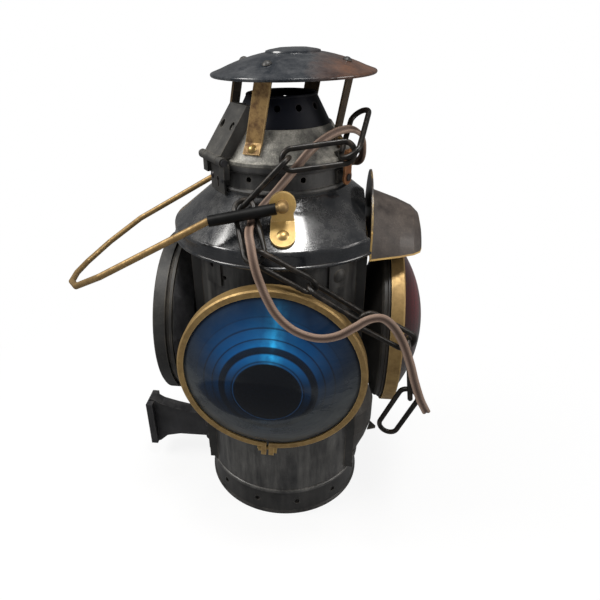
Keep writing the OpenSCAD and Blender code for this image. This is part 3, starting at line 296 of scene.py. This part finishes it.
def painted(name, base, dust=(0.20, 0.185, 0.16), amount=0.5, rough=0.35, coat=0.0, wear=None,
            wear_amount=0.5, streak=0.5, dents=0.4, scale=1.0, rim=None, gloss=0.5):
    """Old black paint on sheet: tone shifts, settled dust, dried runs, scratches, worn edges and dents."""
    mt = Mat(name, base, rough)
    big = mt.noise(14 * scale, 5, 0.6)
    mid = mt.noise(60 * scale, 6, 0.65)
    fine = mt.noise(900 * scale, 3, 0.7)
    runs = mt.noise(10 * scale, 5, 0.7, mt.mapping((9, 9, 0.9)))
    lighter = tuple(min(1, c * 1.9 + 0.004) for c in base)
    col = mt.mix(mt.ramp(big, [(0.38, 0.0), (0.68, 1.0)]), base, lighter)
    upward = mt.ramp(mt.normal_z(), [(0.0, 0.25), (0.9, 1.0)])
    patch = mt.ramp(mid, [(0.36, 0.0), (0.72, 1.0)])
    speck = mt.ramp(fine, [(0.45, 0.35), (0.75, 1.0)])
    run = mt.ramp(runs, [(0.42, 0.0), (0.74, 1.0)])
    settled = mt.math("MULTIPLY", upward, amount)
    dmask = mt.math("MULTIPLY", mt.math("MULTIPLY", patch, speck), settled, clamp=True)
    dmask = mt.math("ADD", dmask, mt.math("MULTIPLY", run, 0.3 * streak * amount), clamp=True)
    col = mt.mix(dmask, col, dust)
    scr = mt.noise(40 * scale, 8, 0.75, mt.mapping((1, 1, 14), (0.3, 0.5, 0.2)))
    scr = mt.ramp(scr, [(0.665, 0.0), (0.69, 1.0)])
    col = mt.mix(mt.math("MULTIPLY", scr, 0.35), col, tuple(min(1, c * 1.2 + 0.03) for c in dust))
    if wear:
        e = mt.math("MULTIPLY", normal_edge(mt), mt.ramp(mid, [(0.4, 0.0), (0.6, wear_amount)]))
        col = mt.mix(e, col, wear)
    if rim:
        s = mt.xyz()
        low = mt.math("MULTIPLY", mt.math("SUBTRACT", s[2], rim["low"]), PER_M)
        low = mt.ramp(low, [(0.0, 1.0), (0.55, 0.9), (1.0, 0.0)])
        side = mt.math("SUBTRACT", mt.math("MULTIPLY", s[1], -1.0), rim["side"])
        side = mt.math("MULTIPLY", side, 1.0 / RIM_FADE)
        side = mt.ramp(side, [(0.0, 0.0), (0.5, 1.0)])
        ochre = mt.mix(patch, (0.52, 0.34, 0.10), (0.34, 0.20, 0.07))
        col = mt.mix(mt.math("MAXIMUM", low, side), col, ochre)
    mt.color(col)
    r = mt.mix(dmask, rough, 0.82)
    r = mt.mix(mt.ramp(mid, [(0.3, 0.0), (0.8, 0.5)]), r, min(1, rough + 0.25))
    mt.rough(r)
    mt.b.inputs["Specular IOR Level"].default_value = gloss
    if coat:
        mt.b.inputs["Coat Weight"].default_value = coat
        mt.b.inputs["Coat Roughness"].default_value = 0.12
    h = mt.math("ADD", mt.math("MULTIPLY", mt.noise(24 * scale, 2, 0.5), dents),
                mt.math("MULTIPLY", fine, 0.06))
    h = mt.math("ADD", h, mt.math("MULTIPLY", mid, 0.12))
    mt.bump(h, 0.55, 0.0016)
    return mt.m


def brass(name, base=(0.44, 0.29, 0.115), dark=(0.15, 0.088, 0.038), bright=(0.78, 0.56, 0.25), rough=0.44,
          metal=0.65, tarnish=0.5, scale=1.0, grime=(0.05, 0.035, 0.02)):
    """Aged brass: brown tarnish, brighter rubbed edges, grime and fine scratches."""
    mt = Mat(name, base, rough, metal)
    big = mt.noise(26 * scale, 6, 0.65)
    mid = mt.noise(130 * scale, 6, 0.7)
    fine = mt.noise(1100 * scale, 3, 0.7)
    col = mt.mix(mt.ramp(big, [(0.35, 0.0), (0.7, 1.0)]), base, tuple(c * 0.72 for c in base))
    t = mt.math("MULTIPLY", mt.ramp(mid, [(0.42, 0.0), (0.66, 1.0)]), tarnish, clamp=True)
    col = mt.mix(t, col, dark)
    col = mt.mix(mt.ramp(fine, [(0.60, 0.0), (0.78, 0.55)]), col, grime)
    e = mt.math("MULTIPLY", normal_edge(mt, 0.0009), 0.75)
    col = mt.mix(e, col, bright)
    mt.color(col)
    mt.rough(mt.mix(t, rough, 0.72))
    h = mt.math("ADD", mt.math("MULTIPLY", mid, 0.35), mt.math("MULTIPLY", fine, 0.25))
    mt.bump(h, 0.35, 0.0006)
    return mt.m


def steel(name, base=(0.035, 0.035, 0.038), rust=(0.13, 0.065, 0.03), rough=0.38, metal=0.7,
          amount=0.4, scale=1.0):
    """Dark oiled steel with rust in patches and a rubbed sheen."""
    mt = Mat(name, base, rough, metal)
    mid = mt.noise(120 * scale, 6, 0.7)
    fine = mt.noise(1400 * scale, 3, 0.7)
    big = mt.noise(35 * scale, 4, 0.6)
    col = mt.mix(mt.ramp(big, [(0.4, 0.0), (0.7, 1.0)]), base, tuple(c * 2.0 for c in base))
    t = mt.math("MULTIPLY", mt.ramp(mid, [(0.5, 0.0), (0.72, 1.0)]), amount, clamp=True)
    col = mt.mix(t, col, rust)
    mt.color(col)
    mt.rough(mt.mix(t, rough, 0.8))
    mt.metal(mt.math("MULTIPLY", mt.math("SUBTRACT", 1.0, t), metal))
    h = mt.math("ADD", mt.math("MULTIPLY", mid, 0.5), mt.math("MULTIPLY", fine, 0.3))
    mt.bump(h, 0.5, 0.0005)
    return mt.m


def stepped_lens(name, axis, deep, mid, bright, dust, amount=0.6):
    """Moulded lens: painted light on stepped rings in its upper half, a painted highlight streak and a faint
    painted glow, a dark centre of painted shade, a painted reflection of dark surroundings across the middle,
    and a grey film that thickens to its rim: dust, with a painted floor reflection in its lower half.
    """
    mt = Mat(name, deep, 0.05)
    s = mt.xyz()
    side = mt.math("MULTIPLY", s[1] if axis == "x" else s[0], PER_M)
    rise = mt.math("MULTIPLY", mt.math("SUBTRACT", s[2], LENS_Z), PER_M)
    rad = mt.math("SQRT", mt.math("ADD", mt.math("MULTIPLY", side, side), mt.math("MULTIPLY", rise, rise)))
    rr = mt.math("DIVIDE", rad, LENS_R)
    # painted light and shade: the steps' treads are painted bright and their risers dark; inside the
    # innermost ring nothing is painted lit, so the near-black deep colour stands for the dark inside of the
    # lamp, partly seen through
    rings = mt.ramp(rr, [
        (0.0, 0.0), (0.355, 0.0), (0.37, 0.55), (0.385, 0.12), (0.40, 0.7), (0.455, 0.85), (0.47, 0.03),
        (0.53, 0.06), (0.54, 0.85), (0.60, 0.6), (0.61, 0.05), (0.62, 0.65), (0.70, 0.5), (0.71, 0.08),
        (0.725, 0.42), (0.80, 0.30), (0.81, 0.16), (0.82, 0.24), (0.96, 0.10), (1.0, 0.0)])
    # painted light: the rings are painted brighter towards the top, where light from above falls
    up_share = mt.math("DIVIDE", rise, mt.math("MAXIMUM", rad, 1.0))
    height = mt.math("ADD", mt.math("MULTIPLY", up_share, 0.5), 0.5)
    painted_light_from_above = mt.ramp(height, [(0.30, 0.03), (0.62, 0.22), (0.85, 0.8), (1.0, 1.0)])
    painted_ring_light = mt.math("MULTIPLY", rings, painted_light_from_above)
    # painted highlight: a bright streak down the painted-lit rings
    streak_x = mt.math("ABSOLUTE", mt.math("SUBTRACT", side, mt.math("MULTIPLY", rise, 0.12)))
    painted_streak = mt.ramp(mt.math("DIVIDE", streak_x, STREAK_HALF_W), [(0.0, 1.0), (0.12, 0.55), (0.4, 0.12), (1.0, 0.0)])
    flicker = mt.ramp(mt.noise(180, 3, 0.6), [(0.35, 0.5), (0.6, 1.0)])
    painted_streak = mt.math("MULTIPLY", mt.math("MULTIPLY", painted_streak, painted_ring_light), flicker)
    col = mt.mix(painted_ring_light, deep, mid)
    col = mt.mix(painted_streak, col, bright)
    outline = mt.ramp(mt.math("ABSOLUTE", mt.math("SUBTRACT", rr, 0.372)), [(0.0, 0.55), (0.008, 0.0)])
    col = mt.mix(outline, col, tuple(c * 0.6 + 0.01 for c in mid))
    film = mt.ramp(rr, [(0.0, 0.25), (0.40, 0.55), (0.68, 0.70), (0.86, 0.90), (1.0, 1.0)])
    # the grey film is thicker in the lower half: dust, and there also a painted reflection of the floor
    lower = mt.ramp(height, [(0.0, 1.0), (0.40, 0.9), (0.62, 0.30), (0.85, 0.16), (1.0, 0.16)])
    streaks = mt.noise(26, 7, 0.72, mt.mapping((1, 1, 2.4), (0.5, 0.3, 0.6)), 0.6)
    streaks = mt.ramp(streaks, [(0.36, 0.35), (0.66, 1.0)])
    speck = mt.ramp(mt.noise(900, 4, 0.8), [(0.40, 0.85), (0.7, 1.0)])
    m = mt.math("MULTIPLY", mt.math("MULTIPLY", film, lower), mt.math("MULTIPLY", streaks, speck))
    # a painted reflection of dark surroundings: a dark lobe across the middle, where the grey film is left
    # out
    lobe_x = mt.math("DIVIDE", mt.math("ADD", side, LOBE_OFF), LOBE_W)
    lobe_z = mt.math("DIVIDE", mt.math("ADD", rise, LOBE_OFF), LOBE_H)
    painted_dark_reflection = mt.math("ADD", mt.math("MULTIPLY", lobe_x, lobe_x), mt.math("MULTIPLY", lobe_z, lobe_z))
    painted_dark_reflection = mt.math("ADD", painted_dark_reflection, mt.math("MULTIPLY", mt.math("SUBTRACT", mt.noise(24, 3, 0.6), 0.5), 0.9))
    m = mt.math("MULTIPLY", m, mt.ramp(painted_dark_reflection, [(0.0, 0.0), (0.82, 0.04), (1.0, 1.0)]))
    m = mt.math("MULTIPLY", m, amount, clamp=True)
    scr = mt.ramp(mt.noise(120, 5, 0.8, mt.mapping((1, 1, 5), (0.4, 0.2, 0.9))), [(0.70, 0.0), (0.72, 0.5)])
    m = mt.math("MAXIMUM", m, mt.math("MULTIPLY", scr, mt.math("MULTIPLY", film, 0.8)))
    mt.color(mt.mix(m, col, dust))
    mt.rough(mt.mix(m, 0.13, 0.6))
    pool = mt.ramp(rr, [(0.0, 0.35), (0.34, 0.35), (0.36, 0.05), (1.0, 0.0)])
    mt.link(pool, mt.b.inputs["Transmission Weight"])
    mt.b.inputs["IOR"].default_value = 1.5
    mt.b.inputs["Coat Weight"].default_value = 0.25
    mt.b.inputs["Specular IOR Level"].default_value = 0.3
    mt.b.inputs["Coat Roughness"].default_value = 0.03
    # painted glow: the painted ring light is also given off as light, though the lens is no lamp
    mt.link(mt.mix(painted_ring_light, (0, 0, 0), mid), mt.b.inputs["Emission Color"])
    mt.b.inputs["Emission Strength"].default_value = 0.22
    return mt.m


M = {}
M["shoulder"] = painted("shoulder_black", (0.005, 0.006, 0.008), (0.20, 0.195, 0.185), amount=0.55,
                        rough=0.14, coat=0.9, wear=(0.10, 0.08, 0.06), streak=0.25, dents=0.55)
M["barrel"] = painted("barrel_black", (0.009, 0.009, 0.0095), (0.21, 0.205, 0.19), amount=0.95,
                      rough=0.30, coat=0.3, wear=(0.12, 0.10, 0.08), streak=1.0, dents=0.8)
M["foot"] = painted("foot_black", (0.006, 0.006, 0.006), (0.14, 0.13, 0.12), amount=0.6, rough=0.30,
                    coat=0.3, wear=(0.16, 0.14, 0.11), streak=0.7, dents=0.6)
M["collar"] = painted("collar_grey", (0.016, 0.016, 0.017), (0.22, 0.215, 0.20), amount=0.9, rough=0.42,
                      coat=0.0, wear=(0.14, 0.12, 0.09), streak=0.7, dents=0.6)
# lid skirt: pale dust, heavy on its up-facing faces, that also stands for a painted highlight
M["skirt"] = painted("skirt_dust_and_sheen", (0.028, 0.028, 0.026), (0.50, 0.48, 0.42), amount=1.9, rough=0.45,
                     coat=0.1, wear=(0.22, 0.19, 0.14), streak=0.8, dents=0.8)
M["flue"] = painted("flue_navy", (0.001, 0.002, 0.006), (0.02, 0.02, 0.03), amount=0.2, rough=0.5,
                    coat=0.0, wear=(0.10, 0.09, 0.08), streak=0.4, dents=0.3, gloss=0.25)
M["housing"] = painted("housing_black", (0.013, 0.012, 0.011), (0.17, 0.15, 0.12), amount=0.6, rough=0.42,
                       coat=0.0, wear=(0.12, 0.09, 0.06), streak=0.5, dents=0.5)
M["door"] = painted("door_black", (0.014, 0.013, 0.012), (0.18, 0.16, 0.13), amount=0.6, rough=0.4,
                    coat=0.1, wear=(0.13, 0.10, 0.07), streak=0.6, dents=0.5)
M["guides"] = painted("guides_black", (0.010, 0.010, 0.010), (0.14, 0.13, 0.11), amount=0.5, rough=0.4,
                      coat=0.0, wear=(0.15, 0.12, 0.08), streak=0.4, dents=0.3)
M["cover"] = painted("cover_beaten", (0.016, 0.016, 0.018), (0.24, 0.24, 0.25), amount=0.9, rough=0.30,
                     coat=0.3, wear=(0.16, 0.15, 0.14), streak=0.5, dents=1.6, scale=1.6)
M["black_bezel"] = painted("black_bezel", (0.010, 0.010, 0.010), (0.16, 0.15, 0.13), amount=0.5,
                           rough=0.4, coat=0.0, wear=(0.14, 0.11, 0.07), streak=0.3, dents=0.3)
M["cast"] = painted("cast_black", (0.010, 0.010, 0.012), (0.16, 0.155, 0.15), amount=0.5, rough=0.45,
                    coat=0.0, wear=(0.11, 0.10, 0.09), streak=0.2, dents=0.3, scale=1.8)
M["hood"] = painted("hood_brown", (0.022, 0.017, 0.015), (0.17, 0.135, 0.11), amount=0.9, rough=0.38,
                    coat=0.1, wear=(0.55, 0.36, 0.10), wear_amount=1.6,
                    streak=0.6, dents=0.4, rim={"low": HOOD_LOW, "side": HOOD_SIDE})
M["leaf"] = painted("leaf_dark", (0.011, 0.011, 0.011), (0.19, 0.18, 0.155), amount=0.8, rough=0.45,
                    coat=0.0, wear=(0.22, 0.19, 0.15), streak=0.3, dents=0.3)
M["inside"] = painted("inside_tin", (0.05, 0.048, 0.044), (0.20, 0.18, 0.15), amount=0.7, rough=0.5,
                      coat=0.0, streak=0.4, dents=0.3)
M["brass"] = brass("brass_aged")
M["brass_ear"] = brass("brass_ear", (0.72, 0.48, 0.16), (0.38, 0.23, 0.08), (0.95, 0.75, 0.40), rough=0.5,
                       metal=0.3, tarnish=0.5)
M["brass_bright"] = brass("brass_bright", (0.62, 0.42, 0.16), (0.25, 0.14, 0.05), (0.88, 0.68, 0.36),
                          rough=0.35, metal=0.8, tarnish=0.3)
M["strap_brass"] = brass("strap_brass", (0.44, 0.28, 0.11), (0.11, 0.055, 0.024), (0.74, 0.54, 0.26),
                         rough=0.5, metal=0.5, tarnish=0.95)
M["strap_dark"] = brass("strap_dark", (0.10, 0.065, 0.035), (0.03, 0.022, 0.016), (0.34, 0.24, 0.13),
                        rough=0.5, metal=0.5, tarnish=0.8)
M["bail"] = brass("bail_wire", (0.36, 0.235, 0.095), (0.12, 0.07, 0.03), (0.66, 0.50, 0.26), rough=0.45,
                  metal=0.6, tarnish=0.55, scale=2.0)
M["latch"] = brass("latch_rust", (0.26, 0.10, 0.035), (0.07, 0.035, 0.02), (0.52, 0.28, 0.12), rough=0.55,
                   metal=0.4, tarnish=0.6, scale=2.0)
M["steel"] = steel("steel_dark")
M["chain"] = steel("chain_steel", (0.011, 0.010, 0.009), (0.10, 0.070, 0.045), rough=0.32, metal=0.4,
                   amount=0.35, scale=1.3)
M["sleeve"] = painted("sleeve_black", (0.002, 0.002, 0.002), (0.03, 0.03, 0.03), amount=0.15, rough=0.4,
                      coat=0.0, streak=0.1, dents=0.1, scale=2.0, gloss=0.25)
M["porcelain"] = painted("porcelain", (0.62, 0.60, 0.54), (0.40, 0.36, 0.28), amount=0.4, rough=0.25,
                         coat=0.5, streak=0.3, dents=0.0)
# both lenses: mid and bright colour the painted ring light and painted highlight streak, deep the painted
# dark centre
M["blue"] = stepped_lens("glass_blue", "y", (0.0012, 0.003, 0.007), (0.001, 0.075, 0.24),
                         (0.03, 0.48, 0.95), (0.080, 0.088, 0.088), amount=0.9)
M["red"] = stepped_lens("glass_red", "x", (0.004, 0.0008, 0.001), (0.14, 0.004, 0.010), (0.5, 0.03, 0.05),
                        (0.07, 0.05, 0.045), amount=0.6)


def cap_material():
    """Glossy black cap with creases hammered into it and a rusty third on its right."""
    mt = Mat("cap_black", (0.008, 0.010, 0.014), 0.2)
    mid = mt.noise(55, 6, 0.7)
    fine = mt.noise(1000, 3, 0.7)
    s = mt.xyz()
    rust = mt.math("ADD", mt.math("MULTIPLY", s[0], 26.0), mt.math("MULTIPLY", mt.noise(30, 6, 0.7), 1.1))
    rust = mt.ramp(mt.math("SUBTRACT", rust, 1.05), [(0.0, 0.0), (0.8, 0.9)])
    rmask = mt.math("MULTIPLY", rust, mt.ramp(mid, [(0.3, 0.4), (0.62, 1.0)]))
    col = mt.mix(mt.ramp(mid, [(0.4, 0.0), (0.8, 1.0)]), (0.008, 0.011, 0.016), (0.085, 0.088, 0.092))
    browns = mt.mix(mt.noise(160, 5, 0.7), (0.20, 0.075, 0.026), (0.028, 0.014, 0.009))
    col = mt.mix(rmask, col, browns)
    col = mt.mix(mt.ramp(fine, [(0.62, 0.0), (0.75, 0.4)]), col, (0.16, 0.16, 0.16))
    mt.color(col)
    mt.rough(mt.mix(rmask, mt.mix(mid, 0.12, 0.34), 0.5))
    mt.b.inputs["Coat Weight"].default_value = 0.4
    mt.b.inputs["Coat Roughness"].default_value = 0.1
    crease = mt.ramp(mt.cell_edges(34), [(0.0, 0.0), (0.06, 1.0)])
    beaten = mt.math("MULTIPLY", mt.noise(20, 2, 0.5), 0.9)
    h = mt.math("ADD", mt.math("MULTIPLY", crease, 0.18), beaten)
    mt.bump(h, 0.5, 0.0016)
    return mt.m


def bulb_glass():
    """Frosted glass with a yellowed shade."""
    mt = Mat("bulb_frosted", (0.86, 0.85, 0.80), 0.35)
    mt.color(mt.mix(mt.noise(30, 4, 0.6), (0.88, 0.87, 0.83), (0.70, 0.67, 0.58)))
    mt.b.inputs["Subsurface Weight"].default_value = 0.3
    mt.bump(mt.noise(800, 2, 0.5), 0.1, 0.0003)
    return mt.m


def cord_material():
    """Brown flex with a fine woven cover, dusty in patches."""
    mt = Mat("cord_brown", (0.16, 0.095, 0.062), 0.72)
    uv = mt.n.new("ShaderNodeUVMap").outputs[0]
    a = mt.weave(300, uv)
    big = mt.noise(30, 5, 0.6)
    col = mt.mix(mt.ramp(a, [(0.3, 0.0), (0.7, 1.0)]), (0.175, 0.112, 0.079), (0.220, 0.146, 0.106))
    col = mt.mix(mt.ramp(big, [(0.35, 0.0), (0.75, 0.6)]), col, (0.26, 0.19, 0.15))
    col = mt.mix(mt.ramp(mt.noise(500, 4, 0.7), [(0.55, 0.0), (0.75, 0.5)]), col, (0.05, 0.035, 0.03))
    # painted shade and grime darken the groove between the two cores, on both faces
    across = mt.n.new("ShaderNodeSeparateXYZ")
    mt.link(uv, across.inputs[0])
    half_turns = mt.math("MULTIPLY", across.outputs[0], 2.0 / CORD_GIRTH)
    off = mt.math("ABSOLUTE", mt.math("SUBTRACT", mt.math("FRACT", half_turns), 0.5))
    groove = mt.ramp(off, [(0.0, 0.9), (0.10, 0.6), (0.18, 0.0)])
    col = mt.mix(groove, col, (0.045, 0.022, 0.014))
    mt.color(col)
    fuzz = mt.math("MULTIPLY", mt.noise(1500, 2, 0.5), 0.3)
    mt.bump(mt.math("ADD", mt.math("MULTIPLY", a, 0.12), fuzz), 0.4, 0.0003)
    return mt.m


M["cap"] = cap_material()
M["bulb"] = bulb_glass()
M["cord"] = cord_material()

NODE_MAT = {
    "foot": "foot", "floor_pan": "inside", "barrel": "barrel", "door_guides": "guides",
    "panel_guides": "guides", "shoulder": "shoulder", "collar": "collar", "front_housing": "housing",
    "front_bezel": "brass", "front_clamp_screw": "brass_bright", "front_lens": "blue",
    "left_panel": "door", "left_housing": "housing", "left_bezel": "black_bezel",
    "left_clamp_screw": "black_bezel", "left_blank": "cover", "left_cover": "cover",
    "left_strap": "black_bezel", "ears": "brass_ear", "ear_rivets": "brass_bright", "body_rivets": "leaf",
    "hinge_leaf": "leaf", "leaf_rivets": "steel", "hinge_pin": "steel", "latch_bracket": "leaf",
    "latch_pin": "steel", "side_bracket": "cast", "bracket_bolts": "steel", "lamp_socket": "porcelain",
    "socket_post": "brass", "bulb": "bulb", "cord_bushing": "sleeve", "inner_lead": "cord",
    "cord": "cord", "chain_upper": "chain", "chain_lower": "chain", "door": "door",
    "door_housing": "housing", "door_bezel": "brass", "door_clamp_screw": "brass_bright",
    "door_lens": "red", "hood": "hood", "door_rivets": "hood", "door_tab": "black_bezel",
    "lid_skirt": "skirt", "flue_cone": "flue", "lid_arm": "leaf", "strap_brass": "strap_brass",
    "straps_dark": "strap_dark", "strap_rivets": "brass_bright", "cap": "cap", "cap_button": "cap",
    "cap_rivets": "black_bezel", "latch_catch": "black_bezel", "latch": "latch", "bail": "bail",
    "bail_sleeves": "sleeve",
}
for name, obj in nodes.items():
    m = M[NODE_MAT[name]]
    if not obj.material_slots:
        obj.data.materials.append(m)
    for sl in obj.material_slots:
        sl.material = m

# Cord piece
cord_route = [Vector(q) * MM for q in CORD_ROUTE_MM]
cord_piece, cord_path, cord_run = flat_cord("lamp_cord", cord_route, CORD_W, CORD_T, M["cord"])
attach(cord_piece, "body")
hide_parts("cord")


# Stage
FLOOR_R = 4.0
FOOT_R = 0.0715                      # the foot's own radius
SHADE_NEAR, SHADE_FAR = 0.10, 0.45   # distances from the axis between which the floor fades to white
FLOOR_GREY = 0.86                    # the floor's share of white next to the lamp


def math_node(tree, op, a, b):
    """A math node on two sockets or numbers."""
    n = tree.nodes.new("ShaderNodeMath")
    n.operation = op
    for sock, v in zip(n.inputs, (a, b)):
        if hasattr(v, "links"):
            tree.links.new(v, sock)
        else:
            sock.default_value = v
    return n.outputs[0]


def map_range(tree, value, low, high, start=0.0, end=1.0):
    """Takes value from start..end to low..high."""
    n = tree.nodes.new("ShaderNodeMapRange")
    n.inputs["From Min"].default_value, n.inputs["From Max"].default_value = start, end
    n.inputs["To Min"].default_value, n.inputs["To Max"].default_value = low, high
    tree.links.new(value, n.inputs[0])
    return n.outputs[0]


floor_me = bpy.data.meshes.new("floor")
bm = bmesh.new()
bmesh.ops.create_circle(bm, cap_ends=True, radius=FLOOR_R, segments=96)
bm.to_mesh(floor_me)
bm.free()
floor = bpy.data.objects.new("floor", floor_me)
scene.collection.objects.link(floor)
floor_mat = bpy.data.materials.new("floor_white")
floor_mat.use_nodes = True
ft = floor_mat.node_tree
matt = ft.nodes["Principled BSDF"]
matt.inputs["Base Color"].default_value = (0.84, 0.84, 0.84, 1)
matt.inputs["Roughness"].default_value = 0.9
ray = ft.nodes.new("ShaderNodeLightPath").outputs

# The camera sees the floor white, a little greyer near the lamp and unlit inside its hollow foot
far = ft.nodes.new("ShaderNodeVectorMath")
far.operation = "LENGTH"
ft.links.new(ft.nodes.new("ShaderNodeNewGeometry").outputs["Position"], far.inputs[0])
fade = map_range(ft, far.outputs["Value"], FLOOR_GREY, 1.0, SHADE_NEAR, SHADE_FAR)
outside = math_node(ft, "GREATER_THAN", far.outputs["Value"], FOOT_R)
seen = math_node(ft, "MULTIPLY", ray["Is Camera Ray"], math_node(ft, "MULTIPLY", fade, outside))
seen = math_node(ft, "MAXIMUM", seen, ray["Is Glossy Ray"])

# Glossy surfaces mirror a darker floor
shade = ft.nodes.new("ShaderNodeMix")
shade.data_type = "RGBA"
shade.inputs[6].default_value = (1, 1, 1, 1)
shade.inputs[7].default_value = (0.16, 0.16, 0.16, 1)
ft.links.new(ray["Is Glossy Ray"], shade.inputs[0])
glow = ft.nodes.new("ShaderNodeEmission")
ft.links.new(shade.outputs[2], glow.inputs["Color"])
blend = ft.nodes.new("ShaderNodeMixShader")
ft.links.new(seen, blend.inputs[0])
ft.links.new(matt.outputs[0], blend.inputs[1])
ft.links.new(glow.outputs[0], blend.inputs[2])
ft.links.new(blend.outputs[0], ft.nodes["Material Output"].inputs["Surface"])
floor_me.materials.append(floor_mat)

# The world is white to the camera, dimmer as a light and dimmer again in reflections
world = bpy.data.worlds.new("studio")
scene.world = world
world.use_nodes = True
wt = world.node_tree
ray = wt.nodes.new("ShaderNodeLightPath").outputs
as_seen = map_range(wt, ray["Is Camera Ray"], 0.40, 1.0)
mirrored = map_range(wt, ray["Is Glossy Ray"], 1.0, 0.35)
backdrop = wt.nodes["Background"]
backdrop.inputs["Color"].default_value = (1, 1, 1, 1)
wt.links.new(math_node(wt, "MULTIPLY", as_seen, mirrored), backdrop.inputs["Strength"])


def area(name, loc, target, size, power, color):
    """A rectangular lamp at loc that shines at target."""
    d = bpy.data.lights.new(name, "AREA")
    d.shape = "RECTANGLE"
    d.size, d.size_y = size
    d.energy = power
    d.color = color
    o = bpy.data.objects.new(name, d)
    scene.collection.objects.link(o)
    o.location = loc
    o.rotation_euler = (Vector(target) - Vector(loc)).to_track_quat("-Z", "Y").to_euler()


area("key", (-0.95, -0.25, 1.15), (0, 0, 0.25), (0.6, 0.6), 15.0, (1.0, 0.98, 0.95))
area("top", (0.13, -0.15, 1.35), (0, 0, 0.27), (0.34, 0.28), 9.0, (1.0, 0.99, 0.97))
area("fill", (1.1, -0.25, 0.65), (0, 0, 0.2), (0.5, 0.5), 5.0, (1.0, 0.96, 0.92))

scene.view_settings.view_transform = "Standard"
